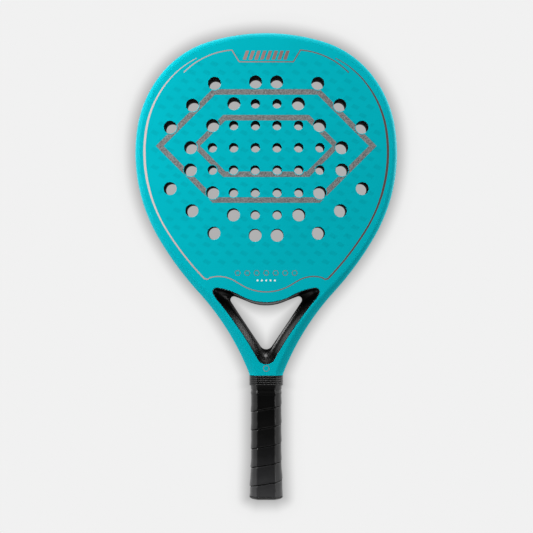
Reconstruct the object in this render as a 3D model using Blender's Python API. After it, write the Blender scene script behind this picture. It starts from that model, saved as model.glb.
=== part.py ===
"""Teardrop padel racket: drilled foam core between two laminates in a hollow moulded frame,
with a lined throat opening, a wound octagonal grip, a ribbed collar and a butt cap.

Runs in Blender 4.5. It stands on its butt end: +Z runs along the racket, +X to the right
of the front face, and the front face looks towards -Y. The origin is the middle of the butt.
The sizes below are in millimetres, and MM makes them metres as the meshes are built.
"""

import math

import bmesh
import bpy
from mathutils import Vector
from mathutils.geometry import delaunay_2d_cdt

MM = 0.001

# Overall
LENGTH = 455.0
THICKNESS = 38.0
GAP = 0.3  # between pieces that touch
SMOOTH_BELOW = 38.0  # edges that bend by fewer degrees are shaded smooth

# Head and arms: the silhouette's right half, as (radius, turn in degrees) from the top
# centre round to the neck. Each arc is tangent to the last, and a negative turn is to the left.
SILHOUETTE = ((190, 17.2), (96, 34.6), (111, 29.9), (163, 38.5), (310, 12.3), (254, -21.3))
SILHOUETTE_STEPS = (5, 7, 6, 8, 5, 18)
NECK_END_Z = 121.6
NECK_TAPER_Z = 165.0  # below this the thickness shrinks towards the grip
NECK_THICKNESS = 35.6

# Frame tube
TUBE_WIDTH = 12.4
TUBE_WALL = 1.5
RIM_BEVEL = 5.5  # width of the rounded edge round the head
NECK_BEVEL = 8.2
BEVEL_GROWS_Z = 200.0  # below this the bevel widens towards the neck
RIM_DROP = 7.0  # how far the bevel reaches round the side
RIM_FLUSH = 0.05  # the bevel's top edge lies this far under the faces' surface
BEVEL_STEPS = 3
LEG_OUTER_X = 9.9
LEG_INNER_X = 4.1
LEG_HALF_DEPTH = 10.7
LEG_CORNER = 1.5
LEG_FOOT_Z = 4.5
SHOULDER_X = 12.6
SHOULDER_DROP = 0.3
LEG_TOP_Z = 117.8
TUBE_NARROWS = 4.0  # the tube's inside narrows to the legs' this far above the neck's end

# Faces and core
FACE_THICKNESS = 0.8
CORE_HALF_DEPTH = THICKNESS / 2 - FACE_THICKNESS - GAP

# Throat opening: its edge on each face, and its narrowest ring half-way between them. Same
# form as the silhouette; the side stretch's end sets the last arc, which closes the apex.
THROAT_TOP_Z = 192.9
THROAT_EDGE = ((51.4, -29.5), (60.4, 22.4), (4, 122.1), (28.2, 14.8), (368, -10.9))
THROAT_EDGE_STEPS = (6, 5, 5, 2, 6)
THROAT_RING_TOP_Z = 189.3
THROAT_RING = ((45.7, -23.2), (258, 3.0), (3.4, 143.3), (3020, 0.3), (3020, 0.7))
THROAT_RING_STEPS = (6, 5, 5, 2, 6)
APEX_STEPS = 5
LINER_LIP = 1.0
LINER_EDGE_DROP = 0.24  # how far the lip's outer edge lies under the faces
LINER_BAND = 2.6  # depth of the flat band at the narrowest ring
BRIDGE_WIDTH = 12.0
ARM_SPAN = 60.0  # runs a line past the arms

# Drilling: (height, ((x, diameter), ...)) for the right half, and mirrored on the left
LARGE, SMALL = 12.5, 9.0
DRILLING = (
    (406.5, ((10.3, LARGE),)),
    (405.1, ((50.1, LARGE),)),
    (385.4, ((10.5, SMALL), (31.3, LARGE))),
    (383.9, ((71.5, LARGE),)),
    (364.3, ((10.5, SMALL), (31.5, SMALL), (52.0, LARGE))),
    (362.5, ((93.0, LARGE),)),
    (342.8, ((10.5, SMALL), (31.6, SMALL), (52.2, SMALL), (73.3, LARGE))),
    (321.1, ((10.7, SMALL), (31.7, SMALL), (52.2, SMALL), (73.6, LARGE))),
    (303.1, ((93.2, LARGE),)),
    (299.1, ((10.7, SMALL), (31.8, SMALL), (52.0, LARGE))),
    (281.6, ((72.1, LARGE),)),
    (277.6, ((10.7, SMALL), (31.8, LARGE))),
    (259.8, ((50.7, LARGE),)),
    (257.8, ((10.7, LARGE),)),
)
HOLE_SIDES = {LARGE: 12, SMALL: 10}

# Handle: an octagon whose corners are cut at 45 degrees
GRIP_HALF_X = 14.55
GRIP_HALF_Y = 16.0
GRIP_CUT = 5.85
GRIP_THICKNESS = 2.0
GRIP_TOP_Z = 117.4
GRIP_SWELL = 0.6  # how much the wound strip swells where the tape doesn't press it flat
SWELL_TOP_Z = 106.6
SWELL_END_Z = 107.5
FLARE_TOP_Z = 42.0
FLARE_END_Z = 12.0
FLARE = 1.1
PALLET_STEP = 1.05  # the pallets' rebate for the cap's skirt

# Butt cap
CAP_FLOOR_Z = 4.2
CAP_FLANGE_Z = 3.1
CAP_SKIRT_Z = 40.0
CAP_BOTTOM_RINGS = ((0.0, 7.1), (1.2, 2.4))  # height, and how far in from the flange
CUT_THROUGH = 1.0  # cutters run this far past what they cut
CORD_HOLE = 8.0

# Staples that hold the cap to the pallets
STAPLE_Z = 22.0
STAPLE_CROWN = 10.0
STAPLE_WIRE = 0.6
STAPLE_WIDTH = 1.2
STAPLE_LEG = 3.0

# Tape and collar at the top of the grip
TAPE_Z = (107.8, 116.9)
TAPE_THICKNESS = 0.3
COLLAR_Z = (111.4, 121.3)
COLLAR_INSIDE = 0.95  # clear of the grip
COLLAR_OUTSIDE = 1.9
COLLAR_GROOVE = 0.45
COLLAR_RIBS = 5
RIB_CREST = ((0.05, 1.0), (0.25, 0.0), (0.75, 0.0), (0.95, 1.0))  # shares of pitch and groove
COLLAR_CHAMFER = 0.1

FILLER_FOOT_Z = 12.0
FILLER_SHOULDER = 1.0  # how far above the neck's end the filler reaches its full depth
FILLER_TOP_Z = 132.1


# Outlines: points (x, z) in millimetres ------------------------------------------------


def walk(top_z, arcs, steps, inset=0.0):
    """Points and right-hand normals of a chain of tangent arcs that starts at the top centre
    heading right. inset moves the whole chain towards its right-hand side."""
    x, z, heading = 0.0, top_z - inset, 0.0
    found = [(x, z, 0.0, -1.0)]
    for (radius, turn), count in zip(arcs, steps):
        side = math.copysign(1.0, turn)
        radius -= side * inset
        centre_x = x + side * radius * math.sin(heading)
        centre_z = z - side * radius * math.cos(heading)
        for step in range(1, count + 1):
            angle = heading - math.radians(turn) * step / count
            x = centre_x - side * radius * math.sin(angle)
            z = centre_z + side * radius * math.cos(angle)
            found.append((x, z, math.sin(angle), -math.cos(angle)))
        heading -= math.radians(turn)
    return found


def closed_at_apex(half):
    """Adds the arc that brings the half outline round to the centre line."""
    x, z, normal_x, normal_z = half[-1]
    radius = -x / normal_x
    centre_z = z + radius * normal_z
    start = math.atan2(z - centre_z, x)
    sweep = start + math.pi / 2
    turned = list(half)
    for step in range(1, APEX_STEPS + 1):
        angle = start - sweep * step / APEX_STEPS
        turned.append((radius * math.cos(angle), centre_z + radius * math.sin(angle)))
    return [point[:2] for point in turned]


def both_sides(half):
    """A closed outline from its right half. Points on the centre line aren't repeated."""
    left = [(-x, z) for x, z in reversed(half) if x > 1e-6]
    return list(half) + left


def throat_edge(inset=0.0):
    return closed_at_apex(walk(THROAT_TOP_Z, THROAT_EDGE, THROAT_EDGE_STEPS, inset))


def throat_ring():
    return closed_at_apex(walk(THROAT_RING_TOP_Z, THROAT_RING, THROAT_RING_STEPS))


def silhouette():
    """Stations (x, z, inward x, inward z) from the top centre to the neck's end."""
    stations = walk(LENGTH, SILHOUETTE, SILHOUETTE_STEPS)
    return stations + [(stations[-1][0], NECK_END_Z, -1.0, 0.0)]


def half_thickness(z):
    """Half the racket's thickness at a height."""
    taper = (NECK_TAPER_Z - z) / (NECK_TAPER_Z - NECK_END_Z)
    return (THICKNESS - min(max(taper, 0.0), 1.0) * (THICKNESS - NECK_THICKNESS)) / 2


def bevel_width(z):
    grown = (BEVEL_GROWS_Z - z) / (BEVEL_GROWS_Z - NECK_END_Z)
    return RIM_BEVEL + min(max(grown, 0.0), 1.0) * (NECK_BEVEL - RIM_BEVEL)


def reach(x, z, way_x, way_z, outline):
    """How far a ray from a point runs before it meets an outline."""
    nearest = math.inf
    for (ax, az), (bx, bz) in zip(outline, outline[1:]):
        edge_x, edge_z = bx - ax, bz - az
        cross = way_x * edge_z - way_z * edge_x
        if abs(cross) < 1e-9:
            continue
        along = ((ax - x) * edge_z - (az - z) * edge_x) / cross
        across = ((ax - x) * way_z - (az - z) * way_x) / cross
        if along > 0 and 0 <= across <= 1:
            nearest = min(nearest, along)
    return nearest


def tube_inner_width(x, z, way_x, way_z):
    """The frame tube's width along a ray: its full width, or up to the throat or the filler."""
    to_filler = (x - LEG_INNER_X) / -way_x if way_x < -0.5 else math.inf
    return min(TUBE_WIDTH, to_filler, reach(x, z, way_x, way_z, throat_edge()))


def encloses(outline, point):
    """Whether a closed outline goes round a point."""
    inside = False
    for (ax, az), (bx, bz) in zip(outline, outline[1:] + outline[:1]):
        if (az > point.y) != (bz > point.y):
            if point.x < ax + (point.y - az) / (bz - az) * (bx - ax):
                inside = not inside
    return inside


def drill_centres():
    for z, row in DRILLING:
        for x, diameter in row:
            yield x, z, diameter
            yield -x, z, diameter


def circle(x, z, diameter, sides):
    turn = 2 * math.pi / sides
    return [
        (x + diameter / 2 * math.cos(turn * i), z + diameter / 2 * math.sin(turn * i))
        for i in range(sides)
    ]


def octagon(half_x, half_y, cut):
    """Corners (x, y) of an octagon, counter-clockwise from above."""
    side, front = half_y - cut, half_x - cut
    quarter = [(half_x, side), (front, half_y)]
    half = quarter + [(-x, y) for x, y in reversed(quarter)]
    return half + [(-x, -y) for x, y in half]


def handle_octagon(offset):
    """The grip's outer octagon moved out by offset."""
    cut = GRIP_CUT + offset * (2 - math.sqrt(2))
    return octagon(GRIP_HALF_X + offset, GRIP_HALF_Y + offset, cut)


# Meshes --------------------------------------------------------------------------------


def new_object(name, bm, material, smooth_angle=None):
    """Makes an object of a bmesh, facing out, shaded smooth below an angle if one is given."""
    bmesh.ops.recalc_face_normals(bm, faces=bm.faces)
    mesh = bpy.data.meshes.new(name)
    bm.to_mesh(mesh)
    bm.free()
    mesh.materials.append(material)
    obj = bpy.data.objects.new(name, mesh)
    bpy.context.collection.objects.link(obj)
    if smooth_angle:
        mesh.shade_smooth()
        mesh.set_sharp_from_angle(angle=math.radians(smooth_angle))
    return obj


def skin_loops(bm, loops, ring):
    """Faces between loops of vertices. ring joins the last loop to the first."""
    pairs = list(zip(loops, loops[1:]))
    if ring:
        pairs.append((loops[-1], loops[0]))
    for first, second in pairs:
        for i, corner in enumerate(first):
            after = (i + 1) % len(first)
            bm.faces.new((corner, first[after], second[after], second[i]))


def loop_of(bm, points):
    return [bm.verts.new(Vector(point) * MM) for point in points]


def plate(name, outer, holes, near, far, material):
    """A plate with the outline and holes given in x and z. near and far give its two
    surfaces' y at a height, so it bends where they do."""
    loops = [outer, *holes]
    points = [Vector(point) for loop in loops for point in loop]
    edges = []
    first = 0
    for loop in loops:
        edges += [(first + i, first + (i + 1) % len(loop)) for i in range(len(loop))]
        first += len(loop)
    inside_outline = 1
    flat, _, faces, *_ = delaunay_2d_cdt(points, edges, [], inside_outline, 1e-6)
    bm = bmesh.new()
    corners = [bm.verts.new((point.x, 0, point.y)) for point in flat]
    for face in faces:
        middle = sum((flat[i] for i in face), Vector((0, 0))) / len(face)
        if not any(encloses(hole, middle) for hole in holes):
            bm.faces.new([corners[i] for i in face])
    bmesh.ops.bisect_plane(
        bm, geom=bm.verts[:] + bm.edges[:] + bm.faces[:], dist=1e-5,
        plane_co=(0, 0, NECK_TAPER_Z), plane_no=(0, 0, 1),
    )
    bmesh.ops.triangulate(bm, faces=bm.faces)
    front = bm.verts[:]
    grown = bmesh.ops.extrude_face_region(bm, geom=bm.faces[:], use_keep_orig=True)
    back = [item for item in grown["geom"] if isinstance(item, bmesh.types.BMVert)]
    for verts, surface in ((front, near), (back, far)):
        for vert in verts:
            vert.co.y = surface(vert.co.z)
    bmesh.ops.scale(bm, vec=(MM, MM, MM), verts=bm.verts)
    return new_object(name, bm, material)


def block(name, outline, half_depth, material):
    """A prism of an outline in x and z, half_depth to either side of the middle plane."""
    bm = bmesh.new()
    loops = [loop_of(bm, [(x, y, z) for x, z in outline]) for y in (-half_depth, half_depth)]
    skin_loops(bm, loops, ring=False)
    for loop in loops:
        bm.faces.new(loop)
    return new_object(name, bm, material)


def stack(name, levels, material, smooth_angle=None):
    """A solid through octagons or other loops at rising heights, closed at both ends."""
    bm = bmesh.new()
    loops = [loop_of(bm, [(x, y, z) for x, y in points]) for z, points in levels]
    skin_loops(bm, loops, ring=False)
    bm.faces.new(loops[0])
    bm.faces.new(loops[-1])
    return new_object(name, bm, material, smooth_angle)


def sleeve(name, profile, material, smooth_angle=None):
    """A sleeve whose section is a closed profile of (z, offset from the grip's octagon)."""
    bm = bmesh.new()
    loops = [loop_of(bm, [(x, y, z) for x, y in handle_octagon(off)]) for z, off in profile]
    skin_loops(bm, loops, ring=True)
    return new_object(name, bm, material, smooth_angle)


def cutter(obj):
    obj.hide_render = True
    obj.display_type = "WIRE"
    return obj


def cut(obj, tool, operation="DIFFERENCE"):
    modifier = obj.modifiers.new(tool.name, "BOOLEAN")
    modifier.operation = operation
    modifier.object = tool
    modifier.solver = "EXACT"


def dressed(name, colour, roughness, metallic=0.0):
    """A plain material of a colour."""
    made = bpy.data.materials.new(name)
    made.use_nodes = True
    shader = made.node_tree.nodes["Principled BSDF"]
    shader.inputs["Base Color"].default_value = (*colour, 1.0)
    shader.inputs["Roughness"].default_value = roughness
    shader.inputs["Metallic"].default_value = metallic
    made.diffuse_color = (*colour, 1.0)
    return made


# Frame ---------------------------------------------------------------------------------


def tube_section(station, width, bevel, drop, surface, rebate, start=0.0):
    """Points round the tube at a station: from the outer side over the front bevel to the
    inner side, and back. surface and rebate give the half thickness at a height outside and
    inside the bevel, and start moves the section's outer side in."""
    x, z, way_x, way_z = station

    def point(across, half, lower, front):
        at_x, at_z = x + way_x * across, z + way_z * across
        return (at_x, (-1 if front else 1) * (half(at_z) - lower), at_z)

    quarter = []
    for step in range(BEVEL_STEPS + 1):
        angle = math.pi / 2 * step / BEVEL_STEPS
        across = start + (bevel - start - GAP) * (1 - math.cos(angle))
        quarter.append((across, surface, drop * (1 - math.sin(angle))))
    quarter.append((bevel, rebate, 0.0))
    quarter.append((width, rebate, 0.0))
    front = [point(*item, True) for item in quarter]
    back = [point(*item, False) for item in reversed(quarter)]
    return front + back


def frame_stations():
    """For the tube's right half, top to foot: the points round it, outside and inside."""
    rebate_drop = FACE_THICKNESS + GAP
    found = []
    for station in silhouette():
        x, z, way_x, way_z = station
        width = tube_inner_width(*station)
        bevel = bevel_width(z)
        outside = tube_section(
            station, width, bevel, RIM_DROP,
            lambda h: half_thickness(h) - RIM_FLUSH, lambda h: half_thickness(h) - rebate_drop,
        )
        if z > NECK_END_Z + TUBE_NARROWS:
            inside = tube_section(
                station, width - TUBE_WALL, min(bevel, width - 2 * TUBE_WALL), RIM_DROP,
                lambda h: half_thickness(h) - rebate_drop - TUBE_WALL,
                lambda h: half_thickness(h) - rebate_drop - TUBE_WALL, start=TUBE_WALL,
            )
        else:
            inside = leg_section(station, z, TUBE_WALL)
        found.append((outside, inside))
    for x, z in (
        (SHOULDER_X, NECK_END_Z - SHOULDER_DROP),
        (LEG_OUTER_X, LEG_TOP_Z),
        (LEG_OUTER_X, LEG_FOOT_Z),
    ):
        found.append((leg_section((x, z, -1.0, 0.0), z, 0.0), leg_section(None, z, TUBE_WALL)))
    return found


def leg_section(station, z, wall):
    """Points round a leg, with its outer side at the station or, inside, at the leg's own."""
    outer_x = station[0] if station and not wall else LEG_OUTER_X
    width = outer_x - LEG_INNER_X - wall
    depth = LEG_HALF_DEPTH + (outer_x - LEG_OUTER_X) - wall
    corner = LEG_CORNER if wall or outer_x == LEG_OUTER_X else NECK_BEVEL / 2
    return tube_section(
        (outer_x, z, -1.0, 0.0), width, wall + corner, corner,
        lambda h: depth, lambda h: depth, start=wall,
    )


def build_frame_tube(paint):
    """The hollow hoop with its arms and the legs that run down inside the handle. Both legs'
    feet are open."""
    right = frame_stations()
    left = [tuple([(-x, y, z) for x, y, z in ring] for ring in pair) for pair in right[:0:-1]]
    bm = bmesh.new()
    stations = left + right
    outside = [loop_of(bm, pair[0]) for pair in stations]
    inside = [loop_of(bm, pair[1]) for pair in stations]
    skin_loops(bm, outside, ring=False)
    skin_loops(bm, inside, ring=False)
    for end in (0, -1):
        skin_loops(bm, [outside[end], inside[end]], ring=False)
    return new_object("frame_tube", bm, paint, SMOOTH_BELOW)


def bridge_line(offset):
    """A line parallel to the throat's top edge, run on straight past both arms."""
    half = walk(THROAT_TOP_Z, THROAT_EDGE[:2], THROAT_EDGE_STEPS[:2], -offset)
    x, z, normal_x, normal_z = half[-1]
    half.append((x - normal_z * ARM_SPAN, z + normal_x * ARM_SPAN))
    return [point[:2] for point in half]


def build_throat_bridge(laminate):
    """The curved tie across the arms that closes the head above the throat. Its two ends
    stop at the frame tube."""
    lower, upper = bridge_line(0.0), bridge_line(BRIDGE_WIDTH)
    right = lower + list(reversed(upper))
    left = [(-x, z) for x, z in upper[1:] + list(reversed(lower[1:]))]
    bridge = block("throat_bridge", right + left, CORE_HALF_DEPTH, laminate)
    keep = cutter(block("cut_pocket", core_pocket(), THICKNESS, laminate))
    cut(bridge, keep, "INTERSECT")
    return bridge


def build_throat_liner(moulding):
    """The moulded lining of the throat opening. Its walls slope in from both faces to a flat
    band half-way through."""
    edge_out = both_sides(throat_edge(GAP))
    edge_in = both_sides(throat_edge(GAP + LINER_LIP))
    ring = both_sides(throat_ring())
    bm = bmesh.new()

    def at(outline, drop):
        return [(x, half_thickness(z) - drop, z) for x, z in outline]

    def front(points):
        return [(x, -y, z) for x, y, z in points]

    outer = at(edge_out, LINER_EDGE_DROP)
    inner = at(edge_in, 0.0)
    band = [(x, LINER_BAND / 2, z) for x, z in ring]
    loops = [front(outer), front(inner), front(band), band, inner, outer]
    skin_loops(bm, [loop_of(bm, loop) for loop in loops], ring=True)
    return new_object("throat_liner", bm, moulding, SMOOTH_BELOW)


# Head ----------------------------------------------------------------------------------


def core_pocket():
    """The outline inside the frame tube, clear of it by the gap."""
    stations = walk(LENGTH, SILHOUETTE, SILHOUETTE_STEPS, TUBE_WIDTH + GAP)
    return both_sides([(x, z) for x, z, *_ in stations])


def head_holes():
    return [circle(x, z, d, HOLE_SIDES[d]) for x, z, d in drill_centres()]


def build_core(foam):
    """The drilled foam slab that fills the head between the faces, down to the bridge."""
    core = plate(
        "core_foam", core_pocket(), head_holes(),
        lambda z: -CORE_HALF_DEPTH, lambda z: CORE_HALF_DEPTH, foam,
    )
    right = bridge_line(BRIDGE_WIDTH + GAP)
    left = [(-x, z) for x, z in reversed(right[1:])]
    foot = [(right[-1][0], 0.0), (left[0][0], 0.0)]
    outline = left + right + foot
    cut(core, cutter(block("cut_below_bridge", outline, THICKNESS, foam)), "DIFFERENCE")
    return core


def build_face(name, side, paint):
    """One drilled laminate. It covers the head, the arms and the neck inside the bevel."""
    rim = []
    for x, z, way_x, way_z in silhouette():
        width = bevel_width(z)
        rim.append((x + way_x * width, z + way_z * width))
    return plate(
        name, both_sides(rim), [both_sides(throat_edge()), *head_holes()],
        lambda z: side * half_thickness(z),
        lambda z: side * (half_thickness(z) - FACE_THICKNESS), paint,
    )


# Handle --------------------------------------------------------------------------------


def build_filler(foam):
    """The foam between the legs, which widens in depth into the neck under the throat."""
    half_x = LEG_INNER_X - GAP
    narrow = LEG_HALF_DEPTH
    wide = half_thickness(NECK_END_Z) - FACE_THICKNESS - GAP

    def at(z, half_y):
        return (z, [(half_x, -half_y), (half_x, half_y), (-half_x, half_y), (-half_x, -half_y)])

    levels = [
        at(FILLER_FOOT_Z, narrow), at(LEG_TOP_Z, narrow),
        at(NECK_END_Z + FILLER_SHOULDER, wide), at(FILLER_TOP_Z, wide),
    ]
    return stack("handle_filler", levels, foam)


def flare_at(z):
    """How much wider the handle is at a height than above its flare."""
    along = (FLARE_TOP_Z - z) / (FLARE_TOP_Z - FLARE_END_Z)
    return FLARE * min(max(along, 0.0), 1.0)


def build_pallet(name, side, foam):
    """One half of the foam octagon round the legs, front or back."""
    pocket_x, pocket_y = LEG_OUTER_X + GAP, LEG_HALF_DEPTH + GAP

    def section(offset):
        outer = handle_octagon(offset)
        half = [(x, y * side) for x, y in outer if y > 0]
        (right_x, _), (left_x, _) = half[0], half[-1]
        face_y = side * GAP / 2
        return [
            (right_x, face_y), *half, (left_x, face_y),
            (-pocket_x, face_y), (-pocket_x, side * pocket_y),
            (pocket_x, side * pocket_y), (pocket_x, face_y),
        ]

    under_grip = -GRIP_THICKNESS - GAP
    under_cap = under_grip - PALLET_STEP
    step_z = CAP_SKIRT_Z + GAP
    levels = [
        (LEG_FOOT_Z, section(under_cap)), (step_z, section(under_cap)),
        (step_z + GAP, section(under_grip)), (GRIP_TOP_Z, section(under_grip)),
    ]
    return stack(name, levels, foam)


def build_butt_cap(plastic):
    """The moulded cap: a skirt under the grip, a flange below it and a cord hole."""
    under_grip = -GRIP_THICKNESS - GAP
    inside = under_grip - PALLET_STEP + GAP
    flange = FLARE + GRIP_SWELL
    outside = [(z, flange - rise) for z, rise in CAP_BOTTOM_RINGS]
    outside += [
        (CAP_FLANGE_Z, flange), (CAP_FLANGE_Z, under_grip + FLARE),
        (FLARE_END_Z, under_grip + FLARE), (CAP_SKIRT_Z, under_grip + flare_at(CAP_SKIRT_Z)),
        (CAP_SKIRT_Z, inside), (CAP_FLOOR_Z, inside),
    ]
    cap = stack("butt_cap", [(z, handle_octagon(off)) for z, off in outside], plastic)
    cord = circle(0.0, 0.0, CORD_HOLE, 16)
    hole = stack("cut_cord_hole", [(-CUT_THROUGH, cord), (CAP_FLOOR_Z + CUT_THROUGH, cord)], plastic)
    cut(cap, cutter(hole))
    return cap


def staple_outline(clearance):
    """A staple seen along Z, crown outwards, as (x, distance in from the crown's top)."""
    crown, wire, leg = STAPLE_CROWN / 2 + clearance, STAPLE_WIRE + clearance, STAPLE_LEG
    inner = STAPLE_CROWN / 2 - STAPLE_WIRE - clearance
    leg += clearance
    return [
        (-crown, -clearance), (crown, -clearance), (crown, leg), (inner, leg),
        (inner, wire), (-inner, wire), (-inner, leg), (-crown, leg),
    ]


def build_staple(name, side, steel, clearance=0.0):
    """A wire staple through the cap's skirt into a pallet. With a clearance it is the
    cutter for its slot."""
    skirt_y = GRIP_HALF_Y - GRIP_THICKNESS - GAP + flare_at(STAPLE_Z)
    crown_y = skirt_y - 2 * GAP
    half_width = STAPLE_WIDTH / 2 + clearance
    points = [(x, side * (crown_y - inward)) for x, inward in staple_outline(clearance)]
    levels = [(STAPLE_Z - half_width, points), (STAPLE_Z + half_width, points)]
    return stack(name, levels, steel)


def build_grip(leather):
    """The wound grip as one sleeve, flared at the butt and pressed flat under the tape."""
    low = CAP_FLANGE_Z + GAP
    heights = (low, FLARE_END_Z, FLARE_TOP_Z, GRIP_TOP_Z)
    inside = [(z, flare_at(z) - GRIP_THICKNESS) for z in heights]
    outside = [(z, flare_at(z) + GRIP_SWELL) for z in (*heights[:-1], SWELL_TOP_Z)]
    outside += [(SWELL_END_Z, 0.0), (GRIP_TOP_Z, 0.0)]
    return sleeve("base_grip", outside + list(reversed(inside)), leather)


def build_tape(tape):
    """The finishing tape round the grip's top end."""
    low, high = TAPE_Z
    inner, outer = GAP, GAP + TAPE_THICKNESS
    return sleeve("finishing_tape", [(low, outer), (high, outer), (high, inner), (low, inner)], tape)


def build_collar(rubber):
    """The ribbed rubber collar that covers the tape and the grip's end."""
    low, high = COLLAR_Z
    pitch = (high - low) / COLLAR_RIBS
    outside = []
    for rib in range(COLLAR_RIBS):
        start = low + rib * pitch
        for part, dip in RIB_CREST:
            outside.append((start + pitch * part, COLLAR_OUTSIDE - COLLAR_GROOVE * dip))
    inside = [(high - COLLAR_CHAMFER, COLLAR_INSIDE), (low + COLLAR_CHAMFER, COLLAR_INSIDE)]
    return sleeve("grip_collar", outside + inside, rubber)


def main():
    for old in list(bpy.data.objects):
        bpy.data.objects.remove(old)

    teal = dressed("teal_lacquer", (0.0, 0.43, 0.49), 0.45)
    laminate = dressed("carbon_laminate", (0.03, 0.03, 0.03), 0.5)
    gloss = dressed("black_gloss_moulding", (0.01, 0.01, 0.012), 0.15)
    eva = dressed("eva_foam", (0.01, 0.01, 0.01), 0.9)
    foam = dressed("pu_foam", (0.25, 0.22, 0.16), 0.9)
    leather = dressed("grip_pu", (0.012, 0.012, 0.012), 0.6)
    tape = dressed("tape_vinyl", (0.02, 0.02, 0.02), 0.3)
    rubber = dressed("black_rubber", (0.015, 0.015, 0.015), 0.5)
    plastic = dressed("cap_nylon", (0.02, 0.02, 0.02), 0.5)
    steel = dressed("staple_steel", (0.55, 0.55, 0.55), 0.3, 1.0)

    build_frame_tube(teal)
    build_throat_bridge(laminate)
    build_throat_liner(gloss)
    build_core(eva)
    build_face("front_face", -1, teal)
    build_face("back_face", 1, teal)

    build_filler(foam)
    pallets = [build_pallet("pallet_front", -1, foam), build_pallet("pallet_back", 1, foam)]
    cap = build_butt_cap(plastic)
    for pallet, side, place in zip(pallets, (-1, 1), ("front", "back")):
        build_staple(f"cap_staple_{place}", side, steel)
        slot = cutter(build_staple(f"cut_staple_{place}", side, steel, GAP))
        cut(cap, slot)
        cut(pallet, slot)
    build_grip(leather)
    build_tape(tape)
    build_collar(rubber)


main()
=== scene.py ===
"""Looks of the teardrop padel racket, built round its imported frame.

The racket stands on its butt end: +Z runs up it, +X to the right of the front face, and
the front face looks towards -Y. Sizes here are in millimetres, and meshes are made in
metres. Each sub-assembly is a class that builds its meshes and dresses them.
"""

import logging
import math
from collections.abc import Iterable, Iterator, Sequence
from dataclasses import dataclass
from enum import Enum
from functools import cache
from typing import NamedTuple

import bmesh
import bpy
import numpy as np
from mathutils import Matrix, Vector
from mathutils.geometry import delaunay_2d_cdt


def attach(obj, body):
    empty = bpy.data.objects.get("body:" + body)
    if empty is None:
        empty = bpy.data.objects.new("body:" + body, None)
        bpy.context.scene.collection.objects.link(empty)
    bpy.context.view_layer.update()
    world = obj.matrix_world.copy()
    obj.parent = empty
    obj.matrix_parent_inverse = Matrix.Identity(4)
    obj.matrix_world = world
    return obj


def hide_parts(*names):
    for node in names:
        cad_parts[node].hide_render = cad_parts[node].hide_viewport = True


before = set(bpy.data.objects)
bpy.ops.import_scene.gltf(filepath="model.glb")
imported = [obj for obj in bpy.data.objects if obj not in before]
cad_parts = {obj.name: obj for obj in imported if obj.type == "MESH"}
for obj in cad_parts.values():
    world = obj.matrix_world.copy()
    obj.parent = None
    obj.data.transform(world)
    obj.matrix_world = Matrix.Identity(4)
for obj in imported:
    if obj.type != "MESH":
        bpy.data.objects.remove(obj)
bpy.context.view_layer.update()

LOG = logging.getLogger("padel_racket")
MM = 0.001
SAME_POINT = 1e-6
SHARPEST_MITRE = 0.35
RACKET, COLLAR = "racket", "collar"

Flat = tuple[float, float]
Point = tuple[float, float, float]
Arc = tuple[float, float]
Stops = tuple[tuple[float, str], ...]


class Side(Enum):
    """Which of the two faces a piece is on, by the sign of its y."""

    FRONT = -1
    BACK = 1


class Station(NamedTuple):
    """A point of an outline with the unit normal to the right of its heading."""

    x: float
    z: float
    way_x: float
    way_z: float

    def inwards(self, distance: float) -> Flat:
        """The point that far along the normal."""
        return (self.x + self.way_x * distance, self.z + self.way_z * distance)


# Outlines ------------------------------------------------------------------------------


def walk(start: Flat, heading: float, arcs: Iterable[Arc], inset: float = 0.0,
         spacing: float = 2.0) -> list[Station]:
    """Follows a chain of tangent arcs.

    Args:
        start: The chain's first point, before any inset.
        heading: Its direction there, in degrees above +X.
        arcs: Radius and turn in degrees of each arc; a positive turn is to the right.
        inset: How far the whole chain moves towards its right-hand side.
        spacing: About how far apart the points lie.

    Returns:
        The stations from the start to the last arc's end.
    """
    angle = math.radians(heading)
    way = (math.sin(angle), -math.cos(angle))
    x, z = start[0] + way[0] * inset, start[1] + way[1] * inset
    found = [Station(x, z, *way)]
    for radius, turn in arcs:
        side = math.copysign(1.0, turn)
        sweep = math.radians(turn)
        count = max(4, math.ceil(abs(sweep) * radius / spacing))
        radius -= side * inset
        centre_x = x + side * radius * math.sin(angle)
        centre_z = z - side * radius * math.cos(angle)
        for step in range(1, count + 1):
            now = angle - sweep * step / count
            x = centre_x - side * radius * math.sin(now)
            z = centre_z + side * radius * math.cos(now)
            found.append(Station(x, z, math.sin(now), -math.cos(now)))
        angle -= sweep
    return found


def smooth(value: float) -> float:
    """0 below 0, 1 above 1, and an even rise between them."""
    held = min(max(value, 0.0), 1.0)
    return held * held * (3 - 2 * held)


def fade(value: float, start: float, end: float) -> float:
    """0 up to the start, 1 from the end on, and an even rise between them."""
    return smooth((value - start) / (end - start))


def mix(ends: Flat, share: float) -> float:
    """The value that far from the first end to the second."""
    return ends[0] + share * (ends[1] - ends[0])


def mirrored(half: Sequence[Flat]) -> list[Flat]:
    """A closed outline from its right half, which starts and ends on the centre line."""
    left = [(-x, z) for x, z in reversed(half) if x > SAME_POINT]
    return list(half) + left


def circle(x: float, z: float, radius: float, sides: int) -> list[Flat]:
    """A regular polygon round a point."""
    turn = 2 * math.pi / sides
    return [(x + radius * math.cos(turn * i), z + radius * math.sin(turn * i)) for i in range(sides)]


def encloses(outline: Sequence[Flat], point: Flat) -> bool:
    """Tells whether a closed outline goes round a point.

    Args:
        outline: Its points, in order.
        point: The point.

    Returns:
        Whether it does.
    """
    inside = False
    for (ax, az), (bx, bz) in zip(outline, list(outline[1:]) + [outline[0]]):
        if (az > point[1]) != (bz > point[1]):
            if point[0] < ax + (point[1] - az) / (bz - az) * (bx - ax):
                inside = not inside
    return inside


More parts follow.
